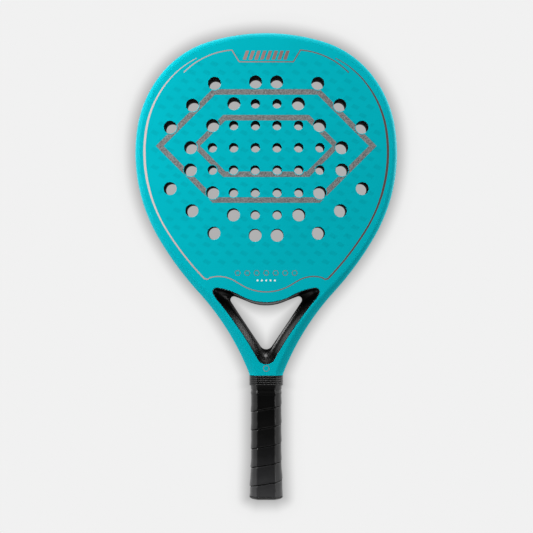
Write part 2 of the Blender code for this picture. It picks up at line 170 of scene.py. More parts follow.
def triangulate(loops: Sequence[Sequence[Flat]], loose: Sequence[Flat] = (),
                within: bool = True) -> Iterator[tuple[Flat, list[Flat], list[int | None]]]:
    """Divides the space between outlines into triangles.

    Args:
        loops: Closed outlines that the triangles' edges follow.
        loose: Points between them that are corners too.
        within: Whether only what the outlines go round is wanted.

    Yields:
        Each triangle's middle, its corners, and the corners' numbers among the points given.
    """
    edges, first = [], 0
    for loop in loops:
        edges += [(first + i, first + (i + 1) % len(loop)) for i in range(len(loop))]
        first += len(loop)
    points = [Vector(point) for loop in (*loops, loose) for point in loop]
    corners, _, faces, origin, *_ = delaunay_2d_cdt(points, edges, [], int(within), SAME_POINT)
    for face in faces:
        middle = sum((corners[i] for i in face), Vector((0, 0))) / len(face)
        numbers = [origin[i][0] if origin[i] else None for i in face]
        yield tuple(middle), [tuple(corners[i]) for i in face], numbers


@dataclass(frozen=True)
class Form:
    """The racket's overall form, which every piece of it follows.

    The silhouette is the right half's chain of arcs from the top centre to the neck.
    """

    length: float = 455.0
    thickness: float = 38.0
    neck_thickness: float = 35.6
    neck_rows: int = 12
    apex_steps: int = 18
    taper_z: float = 165.0
    neck_z: float = 121.6
    film: float = 0.06  # the faces lie this far under the full thickness, for the prints
    silhouette: tuple[Arc, ...] = (
        (190, 17.2), (96, 34.6), (111, 29.9), (163, 38.5), (310, 12.3), (254, -21.3),
    )
    throat_top_z: float = 192.9
    throat_edge: tuple[Arc, ...] = (
        (51.4, -29.5), (60.4, 22.4), (4, 122.1), (28.2, 14.8), (368, -10.9),
    )
    throat_ring_top_z: float = 189.3
    throat_ring: tuple[Arc, ...] = ((45.7, -23.2), (258, 3.0), (3.4, 143.3), (3020, 1.0))

    def half_thickness(self, z: float) -> float:
        """Half the racket's thickness at a height, to the laminates' surface."""
        taper = fade(z, self.taper_z, self.neck_z)
        return (self.thickness - taper * (self.thickness - self.neck_thickness)) / 2 - self.film

    def outline(self, inset: float = 0.05) -> list[Station]:
        """Follows the silhouette's right half, from the top centre to the neck's end.

        Args:
            inset: How far inside it to stay; a little keeps its rounding within the CAD's.

        Returns:
            Its stations.
        """
        stations = walk((0.0, self.length), 0.0, self.silhouette, inset)
        last = stations[-1]
        for step in range(1, self.neck_rows + 1):
            z = last.z + (self.neck_z - last.z) * step / self.neck_rows
            stations.append(Station(last.x, z, -1.0, 0.0))
        return stations

    def throat(self, inset: float = 0.0) -> list[Flat]:
        """The throat opening's edge on a face, or a line that far inside it."""
        half = walk((0.0, self.throat_top_z), 0.0, self.throat_edge, inset, 1.0)
        return mirrored(self._closed(half))

    def ring(self) -> list[Flat]:
        """The throat's narrowest ring, half-way through."""
        half = walk((0.0, self.throat_ring_top_z), 0.0, self.throat_ring, 0.0, 1.0)
        return mirrored(self._closed(half))

    def _closed(self, half: Sequence[Station]) -> list[Flat]:
        """Adds the arc that brings a half outline round to the centre line.

        Args:
            half: The half outline, from the centre line on.

        Returns:
            Its points and the arc's.
        """
        x, z, way_x, way_z = half[-1]
        radius = -x / way_x
        centre_z = z + radius * way_z
        first = math.atan2(z - centre_z, x)
        turned = [(station.x, station.z) for station in half]
        for step in range(1, self.apex_steps + 1):
            angle = first - (first + math.pi / 2) * step / self.apex_steps
            turned.append((radius * math.cos(angle), centre_z + radius * math.sin(angle)))
        return turned


FORM = Form()


# Colours, nodes and meshes -------------------------------------------------------------


def linear(code: str) -> tuple[float, float, float, float]:
    """Turns an sRGB colour to the linear one that Blender wants.

    Args:
        code: Its hex code, such as 00b4c0.

    Returns:
        Red, green, blue and an alpha of 1.
    """
    shares = [int(code[i : i + 2], 16) / 255 for i in (0, 2, 4)]
    r, g, b = [s / 12.92 if s <= 0.04045 else ((s + 0.055) / 1.055) ** 2.4 for s in shares]
    return (r, g, b, 1.0)


def add(tree: bpy.types.NodeTree, kind: str, settings: dict | None = None,
        links: dict | None = None) -> bpy.types.Node:
    """Adds a node.

    Args:
        tree: The tree it goes in.
        kind: Its Blender type.
        settings: Values by the name of a property or of an input socket, and a colour
            ramp's places and hex colours as its stops.
        links: Sockets to link from, by the name or number of an input socket.

    Returns:
        The node.
    """
    made = tree.nodes.new(kind)
    for key, value in (settings or {}).items():
        if key == "stops":
            elements = made.color_ramp.elements
            while len(elements) < len(value):
                elements.new(0.5)
            for element, (place, code) in zip(elements, value):
                element.position = place
                element.color = linear(code)
        elif isinstance(key, str) and hasattr(made, key):
            setattr(made, key, value)
        else:
            made.inputs[key].default_value = value
    for key, socket in (links or {}).items():
        tree.links.new(socket, made.inputs[key])
    return made


def link(name: str, data: bpy.types.ID) -> bpy.types.Object:
    """Puts an object with that name and data in the scene."""
    made = bpy.data.objects.new(name, data)
    bpy.context.scene.collection.objects.link(made)
    return made


class Loft:
    """A mesh in the making: loops of points in millimetres, skinned and capped."""

    def __init__(self) -> None:
        """Starts with no points."""
        self.points: list[Point] = []
        self.faces: list[tuple[int, ...]] = []
        self.finishes: list[int] = []

    def loop(self, points: Iterable[Point]) -> list[int]:
        """Adds points and returns their numbers."""
        first = len(self.points)
        self.points += points
        return list(range(first, len(self.points)))

    def face(self, corners: Sequence[int], finish: int = 0) -> None:
        """Adds one face."""
        self.faces.append(tuple(corners))
        self.finishes.append(finish)

    def skin(self, loops: Sequence[Sequence[int]], ring: bool = False, finish: int = 0) -> None:
        """Adds the faces between closed loops.

        Args:
            loops: The loops' point numbers, each as many as the others.
            ring: Whether the last loop joins the first.
            finish: The faces' number among the materials.
        """
        pairs = list(zip(loops, loops[1:]))
        if ring:
            pairs.append((loops[-1], loops[0]))
        for one, two in pairs:
            for i, corner in enumerate(one):
                after = (i + 1) % len(one)
                self.face((corner, one[after], two[after], two[i]), finish)

    def make(self, name: str, materials: Sequence[bpy.types.Material],
             sharp: float = 38.0) -> bpy.types.Object:
        """Makes the object, facing out and smooth.

        Args:
            name: The piece's name.
            materials: Its materials, in the order of the finish numbers.
            sharp: Edges bent by more than this many degrees stay sharp.

        Returns:
            The object, in the scene.
        """
        mesh = bpy.data.meshes.new(name)
        mesh.from_pydata([Vector(p) * MM for p in self.points], [], self.faces)
        for item in materials:
            mesh.materials.append(item)
        mesh.polygons.foreach_set("material_index", self.finishes)
        bm = bmesh.new()
        bm.from_mesh(mesh)
        bmesh.ops.recalc_face_normals(bm, faces=bm.faces)
        bm.to_mesh(mesh)
        bm.free()
        mesh.shade_smooth()
        mesh.set_sharp_from_angle(angle=math.radians(sharp))
        return link(name, mesh)


def settle(piece: bpy.types.Object, slot: str, body: str = RACKET, stands_for: str = "") -> None:
    """Rides a piece on its body.

    Args:
        piece: The piece.
        slot: Its slot in the record; not used.
        body: The body that it moves with.
        stands_for: The CAD node that it replaces, if it does.
    """
    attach(piece, body)
    if stands_for:
        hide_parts(stands_for)
    LOG.info("%s: %d faces, rides on %s", piece.name, len(piece.data.polygons), body)


# Finishes ------------------------------------------------------------------------------


NOISE, CELLS, BANDS = "ShaderNodeTexNoise", "ShaderNodeTexVoronoi", "ShaderNodeTexWave"
BANDS_PER_UNIT = 20  # how many bands a wave texture has where others have one cell


@dataclass(frozen=True)
class Grain:
    """A texture whose scale comes from the real size of one of its cells."""

    node: str
    size_mm: float
    output: str = "Fac"  # one of its own outputs, or a channel of its cells' random colour
    settings: tuple[tuple[str, float | str], ...] = ()

    def socket(self, tree: bpy.types.NodeTree, place: bpy.types.NodeSocket) -> bpy.types.NodeSocket:
        """Adds the texture to a tree.

        Args:
            tree: The material's tree.
            place: The point it is looked up at.

        Returns:
            The output that carries its value.
        """
        scale = 1.0 / (self.size_mm * MM)
        made = add(tree, self.node, {"Scale": scale, **dict(self.settings)}, {"Vector": place})
        if self.output in made.outputs:
            return made.outputs[self.output]
        channels = add(tree, "ShaderNodeSeparateColor", links={"Color": made.outputs["Color"]})
        return channels.outputs[self.output]


@dataclass(frozen=True)
class Fade:
    """A fade along one of the racket's axes, which patches can make uneven."""

    axis: str
    start_mm: float
    end_mm: float
    patches: Grain | None = None
    patchiness: float = 0.0

    def socket(self, tree: bpy.types.NodeTree, place: bpy.types.NodeSocket) -> bpy.types.NodeSocket:
        """Adds the fade to a tree.

        Args:
            tree: The material's tree.
            place: The point it is looked up at.

        Returns:
            The output that carries its value.
        """
        apart = add(tree, "ShaderNodeSeparateXYZ", links={"Vector": place})
        along = add(tree, "ShaderNodeMapRange",
                    {"From Min": self.start_mm * MM, "From Max": self.end_mm * MM},
                    {"Value": apart.outputs[self.axis]}).outputs["Result"]
        if self.patches is None:
            return along
        uneven = add(tree, "ShaderNodeMath", {"operation": "MULTIPLY_ADD", 1: self.patchiness},
                     {0: self.patches.socket(tree, place), 2: along})
        return uneven.outputs["Value"]


@dataclass(frozen=True)
class Finish:
    """A material: its slot in the record, its surface, and what it shows close up."""

    name: str
    slot: str
    colour: str
    roughness: float
    metallic: float = 0.0
    specular: float = 0.5
    tint: Grain | Fade | None = None  # chooses a colour from the stops
    stops: Stops = ()
    relief: Grain | None = None
    relief_strength: float = 0.3
    relief_mm: float = 0.05
    haze: Grain | None = None
    haze_range: Flat = (0.92, 1.1)  # the haze's least and most roughness, as shares

    def material(self) -> bpy.types.Material:
        """Makes the material."""
        made = bpy.data.materials.new(self.name)
        made.use_nodes = True
        tree = made.node_tree
        shader = tree.nodes["Principled BSDF"]
        surface = {"Base Color": linear(self.colour), "Roughness": self.roughness,
                   "Metallic": self.metallic, "Specular IOR Level": self.specular}
        for name, value in surface.items():
            shader.inputs[name].default_value = value
        place = add(tree, "ShaderNodeTexCoord").outputs["Object"]
        if self.tint:
            tint = add(tree, "ShaderNodeValToRGB", {"stops": self.stops},
                       {"Fac": self.tint.socket(tree, place)})
            tree.links.new(tint.outputs["Color"], shader.inputs["Base Color"])
        if self.relief:
            raised = add(tree, "ShaderNodeBump",
                         {"Strength": self.relief_strength, "Distance": self.relief_mm * MM},
                         {"Height": self.relief.socket(tree, place)})
            tree.links.new(raised.outputs["Normal"], shader.inputs["Normal"])
        if self.haze:
            low, high = self.haze_range
            rough = add(tree, "ShaderNodeMapRange",
                        {"To Min": self.roughness * low, "To Max": self.roughness * high},
                        {"Value": self.haze.socket(tree, place)})
            tree.links.new(rough.outputs["Result"], shader.inputs["Roughness"])
        return made


FINE = (("Detail", 3.0),)  # more octaves, for clouds and patches

# Two-part lacquer sprayed over the laminates: an even satin colour with a slight orange
# peel, and faint clouds where the coat lies thicker
LACQUER = Finish(
    "polyurethane_lacquer", "teal_lacquer", "00b4c1", 0.5, specular=0.03,
    tint=Grain(NOISE, 38.0, settings=FINE), stops=((0.35, "00b0bd"), (0.65, "00b4c1")),
    relief=Grain(NOISE, 0.9), relief_strength=0.25, relief_mm=0.02,
)
# Opaque screen inks: flat and matt, with the mesh's faint print texture. The first is a
# shade of the lacquer, the second white
TONE_INK, WHITE_INK = (
    Finish(name, slot, colour, roughness, specular=specular,
           relief=Grain(NOISE, 0.4), relief_strength=0.15, relief_mm=0.02)
    for name, slot, colour, roughness, specular in (
        ("tone_on_tone_ink", "teal_lacquer", "00a5b1", 0.55, 0.03),
        ("white_screen_ink", "white_print", "f2f6f6", 0.6, 0.2),
    )
)
# Screen-printed ink full of metal flake: each flake has its own grey and tilt, so the
# bands sparkle in light and dark grains. The flakes are drawn coarser than real ones
FLAKE = Finish(
    "metal_flake_ink", "flake_print", "7d7f7f", 0.5, 0.25,
    tint=Grain(CELLS, 0.6, "Red"), stops=((0.0, "5c5d5e"), (0.5, "7d7f7f"), (1.0, "a0a2a2")),
    relief=Grain(CELLS, 0.6, "Green"), relief_strength=0.35,
)
# Hot-stamped metallic foil, with the fine grain that the stamping leaves. Its colour fades from
# silver rose to bronze across the racket as painted light: lit on the left, painted shade on the right
FOIL = Finish(
    "hot_stamped_foil", "foil_transfer", "f0dcd8", 0.42, 0.35,
    # painted light and shade: lighter on the left, darker on the right, across x
    tint=Fade("X", -120.0, 120.0),
    stops=((0.06, "f0dcd8"), (0.35, "c3a29e"), (0.62, "94716c"), (0.9, "6f524f")),
    relief=Grain(NOISE, 0.5), relief_strength=0.2, relief_mm=0.02,
)
# ABS moulded in a polished tool: deep black with clear reflections, a fine haze and the
# slight waviness of a sink
MOULDING = Finish(
    "polished_black_abs", "black_gloss", "040505", 0.32,
    relief=Grain(NOISE, 14.0, settings=(("Detail", 1.0),)), relief_strength=0.12, relief_mm=0.1,
    haze=Grain(NOISE, 6.0),
)
# Closed-cell foams: matt, with their burst cells as small pits, which are painted darker as
# painted shade in the hollows. The first is the head's soft black slab, the second the handle's rigid tan
# filling
EVA, PU_FOAM = (
    Finish(name, name.removeprefix("rigid_"), colour, 0.9, specular=specular,
           # the pits take a darker colour: painted shade in the hollows
           tint=Grain(CELLS, cell_mm, "Distance"), stops=((0.0, pit), (0.6, colour)),
           relief=Grain(CELLS, cell_mm, "Distance"), relief_strength=0.6, relief_mm=0.2)
    for name, colour, pit, cell_mm, specular in (
        ("eva_foam", "161616", "060606", 0.7, 0.2),
        ("rigid_pu_foam", "a89a76", "6f6449", 0.5, 0.5),
    )
)
# Carbon laminate in black epoxy where a drill or a saw has cut it: thin plies, end on
PLY_BANDS = Grain(BANDS, 0.22 * BANDS_PER_UNIT,
                  settings=(("bands_direction", "Y"), ("Distortion", 1.5)))
PLIES = Finish(
    "cut_carbon_laminate", "carbon_laminate", "1c1c1d", 0.6, specular=0.3,
    tint=PLY_BANDS, stops=((0.0, "060606"), (1.0, "1c1c1d")), relief=PLY_BANDS,
)
# Polyurethane grip leather: a soft black skin with a fine pebble. Its colour is painted light and
# shade, greyer towards the butt and blacker towards the top, unevenly in patches
LEATHER = Finish(
    "pu_grip_leather", "grip_pu", "010101", 0.33, specular=0.4,
    # painted light and shade along the grip's height, made patchy
    tint=Fade("Z", 5.0, 95.0, Grain(NOISE, 9.0, settings=FINE), 0.12),
    stops=((0.06, "3e3e3f"), (0.26, "2a2a2b"), (0.5, "171718"), (0.72, "0a0a0a"), (1.0, "010101")),
    relief=Grain(CELLS, 0.8, "Distance"), relief_strength=0.22, relief_mm=0.04,
)
# The same leather deep in a seam, painted darker and without shine as painted shade
PAINTED_SEAM_SHADE = Finish("painted_shade_grip_seam", "grip_pu", "080808", 0.8, specular=0.1, relief=Grain(NOISE, 0.5))
# Calendered vinyl tape: a smooth black skin that follows the grip under it
VINYL = Finish("vinyl_tape", "tape_vinyl", "040404", 0.35, relief=Grain(NOISE, 1.2))
# Compression-moulded rubber: dark and even, with the tool's fine spark-eroded grain
RUBBER = Finish("black_rubber", "black_rubber", "070707", 0.34, specular=0.35,
                relief=Grain(NOISE, 0.5))
# Injection-moulded nylon: a matt grey-black with the same grain
NYLON = Finish("moulded_nylon", "cap_nylon", "262626", 0.5, relief=Grain(NOISE, 0.5))
# Drawn steel wire with the die's fine marks
STEEL = Finish("drawn_steel_wire", "staple_steel", "b9bbbd", 0.3, 1.0, relief=Grain(NOISE, 0.3))


@cache
def paint(finish: Finish) -> bpy.types.Material:
    """The material of a finish, made once."""
    return finish.material()


# Frame ---------------------------------------------------------------------------------


@dataclass
class RimFrame:
    """The moulded hoop with its arms, neck and legs: a rounded bevel to each face, flat
    sides, and a shallow track round the outside of the hoop."""

    bevels: Flat = (5.6, 8.0)  # its width at the head and at the arms
    drops: Flat = (8.0, 7.2)  # how far it drops from the face
    roundness: Flat = (2.0, 1.45)  # 2 is an ellipse, and less is flatter
    grown_z: Flat = (250.0, 172.0)  # where it changes from the first to the second
    bevel_steps: int = 10
    land: float = 0.4  # flat strip between the bevel and the laminate's edge
    laminate: float = 0.8
    under_lap: float = 1.6
    track_half_width: float = 9.0
    track_depth: float = 0.75
    track_shoulder: float = 1.6
    track_end_z: float = 184.6
    track_fade: float = 7.0
    side_steps: int = 24
    legs: tuple[Flat, ...] = ((12.6, 121.3), (9.9, 117.8), (9.9, 96.0))  # outer x and z
    leg_inner_x: float = 4.1
    leg_half_depth: float = 10.7
    leg_corner: Flat = (2.0, 4.1)  # its least and most radius
    leg_land: float = 0.2

    def seam(self, z: float) -> float:
        """How far in from the silhouette the laminates begin."""
        return mix(self.bevels, fade(z, *self.grown_z)) + self.land

    def quarter(self, bevel: float, drop: float, roundness: float) -> list[Flat]:
        """Draws a bevel's curve.

        Args:
            bevel: Its width.
            drop: How far it drops from the face.
            roundness: How full its curve is.

        Returns:
            Its points, as distances in from the side and under the face.
        """
        found = []
        for step in range(self.bevel_steps + 1):
            angle = math.pi / 2 * step / self.bevel_steps
            across = bevel * (1 - math.cos(angle) ** (2 / roundness))
            found.append((across, drop * (1 - math.sin(angle) ** (2 / roundness))))
        return found

    def track(self, y: float, z: float) -> float:
        """The track's depth at a distance from the middle plane and a height."""
        across = smooth((self.track_half_width - abs(y)) / self.track_shoulder)
        return self.track_depth * across * smooth((z - self.track_end_z) / self.track_fade)

    def section(self, station: Station) -> list[Point]:
        """Draws the rim's closed section.

        Args:
            station: Where on the silhouette.

        Returns:
            Its points, from the front face round the outside to the back face.
        """
        share = fade(station.z, *self.grown_z)
        drop = mix(self.drops, share)
        curve = self.quarter(mix(self.bevels, share), drop, mix(self.roundness, share))
        seam = self.seam(station.z)
        lap = ((seam, 0.0), (seam, self.laminate), (seam + self.under_lap, self.laminate))
        top = []
        for across, lower in (*curve, *lap):
            x, z = station.inwards(across)
            top.append((x, FORM.half_thickness(z) - lower, z))
        flat_half = FORM.half_thickness(station.z) - drop
        walls = []
        for step in range(1, self.side_steps):
            y = flat_half * (2 * step / self.side_steps - 1)
            x, z = station.inwards(self.track(y, station.z))
            walls.append((x, y, z))
        return [(x, -y, z) for x, y, z in reversed(top)] + walls + top

    def leg_section(self, outer_x: float, z: float) -> list[Point]:
        """Draws the same loop of points round a leg below the neck.

        Args:
            outer_x: The leg's outer side.
            z: The height.

        Returns:
            The section's points.
        """
        spread = outer_x - self.legs[-1][0]
        depth = self.leg_half_depth + spread
        least, most = self.leg_corner
        corner = min(least + spread, most)
        half = []
        for across, lower in self.quarter(corner, corner, self.roundness[0]):
            half.append((outer_x - across, depth - lower, z))
        half += [(outer_x - corner - self.leg_land, depth, z)] * 2 + [(self.leg_inner_x, depth, z)]
        flat, steps = depth - corner, self.side_steps
        walls = [(outer_x, flat * (2 * step / steps - 1), z) for step in range(1, steps)]
        return [(x, -y, z) for x, y, z in reversed(half)] + walls + half

    def build(self) -> None:
        """Builds the rim from the left leg round the head to the right leg."""
        right = [self.section(station) for station in FORM.outline()]
        right += [self.leg_section(outer_x, z) for outer_x, z in self.legs]
        left = [[(-x, y, z) for x, y, z in ring] for ring in right[:0:-1]]
        loft = Loft()
        loops = [loft.loop(ring) for ring in left + right]
        loft.skin(loops)
        loft.face(loops[0])
        loft.face(loops[-1])
        settle(loft.make("rim_frame", [paint(LACQUER)]), LACQUER.slot, stands_for="frame_tube")


# Head ----------------------------------------------------------------------------------


@dataclass
class Drilling:
    """The head's hole pattern: rows of (height, ((x, diameter), ...)) for the right half."""

    large: float = 12.5
    small: float = 9.0

    def holes(self) -> list[tuple[float, float, float]]:
        """Every hole as its x, z and radius."""
        big, little = self.large, self.small
        rows = (
            (406.5, ((10.3, big),)),
            (405.1, ((50.1, big),)),
            (385.4, ((10.5, little), (31.3, big))),
            (383.9, ((71.5, big),)),
            (364.3, ((10.5, little), (31.5, little), (52.0, big))),
            (362.5, ((93.0, big),)),
            (342.8, ((10.5, little), (31.6, little), (52.2, little), (73.3, big))),
            (321.1, ((10.7, little), (31.7, little), (52.2, little), (73.6, big))),
            (303.1, ((93.2, big),)),
            (299.1, ((10.7, little), (31.8, little), (52.0, big))),
            (281.6, ((72.1, big),)),
            (277.6, ((10.7, little), (31.8, big))),
            (259.8, ((50.7, big),)),
            (257.8, ((10.7, big),)),
        )
        found = []
        for z, row in rows:
            for x, diameter in row:
                found += [(x, z, diameter / 2), (-x, z, diameter / 2)]
        return found


@dataclass
class Head:
    """The two drilled laminates and the foam core between them."""

    rim: RimFrame
    drilling: Drilling
    sides: int = 48
    lip: float = 0.3  # radius of the lacquer's rounded edge at a hole
    lip_steps: int = 4
    land: float = 0.35
    laminate: float = 0.8
    core_clearance: float = 0.3
    core_inset: float = 12.7
    core_foot_z: float = 222.0
    taper_grid: float = 3.5  # spacing of the points where the faces bend
    taper_columns: int = 12
    taper_over: float = 6.0
    taper_clear: float = 1.0
    taper_share: float = 0.97

    @staticmethod
    def cap(loft: Loft, loops: Sequence[list[int]], loose: Sequence[int] = (),
            finish: int = 0) -> None:
        """Covers an outline but not its holes.

        Args:
            loft: Where the points are, and the faces go.
            loops: The outline's point numbers first, then each hole's.
            loose: Points inside that the cover passes through.
            finish: The faces' number among the materials.
        """
        numbers = [number for loop in (*loops, loose) for number in loop]
        *outlines, inner = [[loft.points[n][::2] for n in loop] for loop in (*loops, loose)]
        holes = []
        for hole in outlines[1:]:
            xs, zs = zip(*hole)
            holes.append((min(xs), max(xs), min(zs), max(zs), hole))
        for middle, _, corners in triangulate(outlines, inner):
            near = [hole for west, east, low, high, hole in holes
                    if west < middle[0] < east and low < middle[1] < high]
            if not any(encloses(hole, middle) for hole in near):
                loft.face([numbers[corner] for corner in corners], finish)

    def edge_rings(self) -> list[Flat]:
        """A hole's rounded edge, as how far out from the hole and how far under the face."""
        rings = [(self.lip + self.land, 0.0)]
        for step in range(self.lip_steps + 1):
            angle = math.pi / 2 * step / self.lip_steps
            rings.append((self.lip * (1 - math.sin(angle)), self.lip * (1 - math.cos(angle))))
        return rings

    def build_face(self, name: str, side: Side, node: str) -> None:
        """Builds one laminate, with rounded lacquer at every hole and at the throat.

        Args:
            name: The piece's name.
            side: The face it is on.
            node: The CAD node that it replaces.
        """
        loft = Loft()

        def lay(outline: Iterable[Flat], lower: float) -> list[int]:
            """A loop that far under the face."""
            return loft.loop([(x, side.value * (FORM.half_thickness(z) - lower), z)
                              for x, z in outline])

        edge = mirrored([s.inwards(self.rim.seam(s.z)) for s in FORM.outline()])
        tops, lows = [lay(edge, 0.0)], [lay(edge, self.laminate)]
        loft.skin([tops[0], lows[0]], finish=1)
        rings = self.edge_rings()
        bores = [[FORM.throat(-out) for out, _ in rings]]
        for x, z, radius in self.drilling.holes():
            bores.append([circle(x, z, radius + out, self.sides) for out, _ in rings])
        for bore in bores:
            loops = [lay(outline, lower) for outline, (_, lower) in zip(bore, rings)]
            loft.skin(loops)
            foot = lay(bore[-1], self.laminate)
            loft.skin([loops[-1], foot], finish=1)
            tops.append(loops[0])
            lows.append(foot)
        grid = self._taper_points(edge)
        self.cap(loft, tops, lay(grid, 0.0))
        self.cap(loft, lows, lay(grid, self.laminate), 1)
        made = loft.make(name, [paint(LACQUER), paint(PLIES)])
        settle(made, LACQUER.slot, stands_for=node)

    def _taper_points(self, edge: Sequence[Flat]) -> list[Flat]:
        """Spreads points over the arms and neck, where the faces bend with the thickness.

        Args:
            edge: The face's outline.

        Returns:
            The points.
        """
        throat = FORM.throat(-self.lip - self.land - self.taper_clear)
        inside = [(x * self.taper_share, max(z, FORM.neck_z + self.taper_clear)) for x, z in edge]
        found = []
        rows = math.ceil((FORM.taper_z + self.taper_over - FORM.neck_z) / self.taper_grid)
        for row in range(1, rows):
            z = FORM.neck_z + row * self.taper_grid
            for column in range(-self.taper_columns, self.taper_columns + 1):
                place = (column * self.taper_grid, z)
                if encloses(inside, place) and not encloses(throat, place):
                    found.append(place)
        return found

    def build_core(self) -> None:
        """Builds the foam slab with its drilled bores."""
        loft = Loft()
        half = FORM.thickness / 2 - self.laminate - self.core_clearance
        stations = walk((0.0, FORM.length), 0.0, FORM.silhouette, self.core_inset)
        outlines = [mirrored([(s.x, s.z) for s in stations if s.z > self.core_foot_z])]
        outlines += [circle(x, z, radius, self.sides) for x, z, radius in self.drilling.holes()]
        fronts, backs = ([loft.loop([(x, y, z) for x, z in outline]) for outline in outlines]
                         for y in (-half, half))
        for front, back in zip(fronts, backs):
            loft.skin([front, back])
        self.cap(loft, fronts)
        self.cap(loft, backs)
        settle(loft.make("foam_core", [paint(EVA)]), EVA.slot, stands_for="core_foam")


# Prints --------------------------------------------------------------------------------


class Row(NamedTuple):
    """A centred row of equal marks: its height, their count and their pitch."""

    z: float
    count: int
    pitch: float

    def middles(self) -> list[float]:
        """The x of each mark's middle."""
        return [(number - (self.count - 1) / 2) * self.pitch for number in range(self.count)]


@dataclass
class Prints:
    """The films printed on both faces, as flat outlines: nested hexagon bands, pinstripes,
    small bars, hexagons and dots, and a tone-on-tone hatch."""

    drilling: Drilling
    sides: int = 48
    band_width: float = 5.2
    band_centre_z: float = 344.4
    band_half_width: float = 107.0
    band_half_height: float = 55.0
    band_flat: float = 52.0
    band_step: float = 25.0
    bands: int = 2
    stripe_inset: float = 9.45
    stripe_spread: float = 2.1  # how much further in the stripe runs 100 mm from its middle
    stripe_middle_z: float = 343.0
    stripe_top_z: float = 429.5
    stripe_foot_z: float = 215.2
    stripe_width: Flat = (0.6, 2.2)  # at its ends and at its widest
    line_width: float = 1.0
    wave_start: Flat = (0.0, 202.9)
    wave: tuple[Arc, ...] = ((46.4, -31), (3020, 0.15), (30.2, 43), (9, 36))
    cartouche: tuple[Flat, Flat] = ((33.3, 437.4), (26.2, 426.0))
    shoulder_heading: float = -4.5
    shoulder: tuple[Arc, ...] = ((73.5, 41),)
    bars: Row = Row(432.4, 8, 5.6)
    bar_size: Flat = (3.2, 8.6)
    bar_slant: float = 0.35
    neck_mark: Row = Row(128.6, 1, 0.0)
    neck_hexagon: Flat = (3.4, 0.55)  # its radius and line width
    row: Row = Row(221.2, 7, 9.2)
    row_hexagon: Flat = (3.0, 0.75)
    dots: Row = Row(214.0, 5, 4.2)
    dot_radius: float = 0.95
    hole_clear: Flat = (0.7, 0.6)  # how clear of the holes the bands and the hatch stay
    hatch_pitch: tuple[float, float] = (14.4, 8.35)
    hatch_half: tuple[float, float] = (4.4, 2.2)
    hatch_bar: float = 0.5
    hatch_bar_pitch: float = 1.3
    hatch_low_z: float = 232.0
    hatch_region_z: float = 200.0
    hatch_inset: float = 3.5  # how far inside the pinstripe it stays
    hatch_columns: int = 9
    hatch_least: float = 0.8  # a bar less high than this is left out
    raised: float = 0.05  # how far a film stands over the lacquer
    hatch_raised: float = 0.015
    sink: float = 0.04
    same_corner: float = 1e-4

    def film(self, name: str, shapes: Sequence[Sequence[Flat]], side: Side, finish: Finish,
             raised: float) -> None:
        """Makes a thin closed film of flat shapes on a face.

        Args:
            name: The piece's name.
            shapes: Outlines of x and z, which may share edges but not overlap.
            side: The face it lies on.
            finish: Its finish.
            raised: How far it stands over the lacquer.
        """
        bm = bmesh.new()
        for shape in shapes:
            bm.faces.new([bm.verts.new((x, 0.0, z)) for x, z in shape])
        bmesh.ops.remove_doubles(bm, verts=bm.verts, dist=self.same_corner)
        top = bm.verts[:]
        grown = bmesh.ops.extrude_face_region(bm, geom=bm.faces[:], use_keep_orig=True)
        low = [item for item in grown["geom"] if isinstance(item, bmesh.types.BMVert)]
        for verts, lift in ((top, raised), (low, -self.sink)):
            for vert in verts:
                vert.co.y = side.value * (FORM.half_thickness(vert.co.z) + lift)
        bmesh.ops.recalc_face_normals(bm, faces=bm.faces)
        bmesh.ops.scale(bm, vec=(MM, MM, MM), verts=bm.verts)
        mesh = bpy.data.meshes.new(name)
        bm.to_mesh(mesh)
        bm.free()
        mesh.materials.append(paint(finish))
        settle(link(name, mesh), finish.slot)

    def hexagon(self, inset: float) -> list[Flat]:
        """Draws a band's edge.

        Args:
            inset: How far it lies inside the outermost one.

        Returns:
            The stretched hexagon's corners.
        """
        half_x, half_z = self.band_half_width, self.band_half_height
        slope = math.hypot(half_x - self.band_flat, half_z)
        point_x = half_x - inset * slope / half_z
        flat_x = self.band_flat - inset * (slope - (half_x - self.band_flat)) / half_z
        high = half_z - inset
        ring = ((point_x, 0.0), (flat_x, high), (-flat_x, high),
                (-point_x, 0.0), (-flat_x, -high), (flat_x, -high))
        return [(x, self.band_centre_z + z) for x, z in ring]

    def hexagon_bands(self) -> list[list[Flat]]:
        """The nested stretched hexagons, cut where a hole goes through them."""
        starts = [number * self.band_step for number in range(self.bands)]
        rings = [(self.hexagon(start), self.hexagon(start + self.band_width)) for start in starts]
        clear = self.hole_clear[0]
        holes = [circle(x, z, radius + clear, self.sides) for x, z, radius in self.drilling.holes()]
        loops = [loop for pair in rings for loop in pair] + holes
        found = []
        for middle, corners, _ in triangulate(loops, within=False):
            if (any(encloses(out, middle) and not encloses(inner, middle) for out, inner in rings)
                    and not any(encloses(hole, middle) for hole in holes)):
                found.append(corners)
        return found

    @staticmethod
    def ribbon(path: Sequence[Flat], widths: Sequence[float]) -> list[list[Flat]]:
        """Quads along a path, with mitred corners.

        Args:
            path: Its points.
            widths: The ribbon's width at each of them.

        Returns:
            The quads.
        """
        left, right = [], []
        for i, (point, width) in enumerate(zip(path, widths)):
            here = Vector(point)
            ways = []
            if i > 0:
                ways.append((here - Vector(path[i - 1])).normalized())
            if i < len(path) - 1:
                ways.append((Vector(path[i + 1]) - here).normalized())
            way = sum(ways, Vector((0, 0))).normalized()
            across = Vector((-way.y, way.x))
            reach = width / 2 / max(abs(way.dot(ways[0])), SHARPEST_MITRE)
            left.append(tuple(here + across * reach))
            right.append(tuple(here - across * reach))
        return [[left[i], left[i + 1], right[i + 1], right[i]] for i in range(len(path) - 1)]

    def inset_at(self, z: float) -> float:
        """How far in from the silhouette the pinstripe runs at a height."""
        return self.stripe_inset + self.stripe_spread * ((z - self.stripe_middle_z) / 100) ** 2

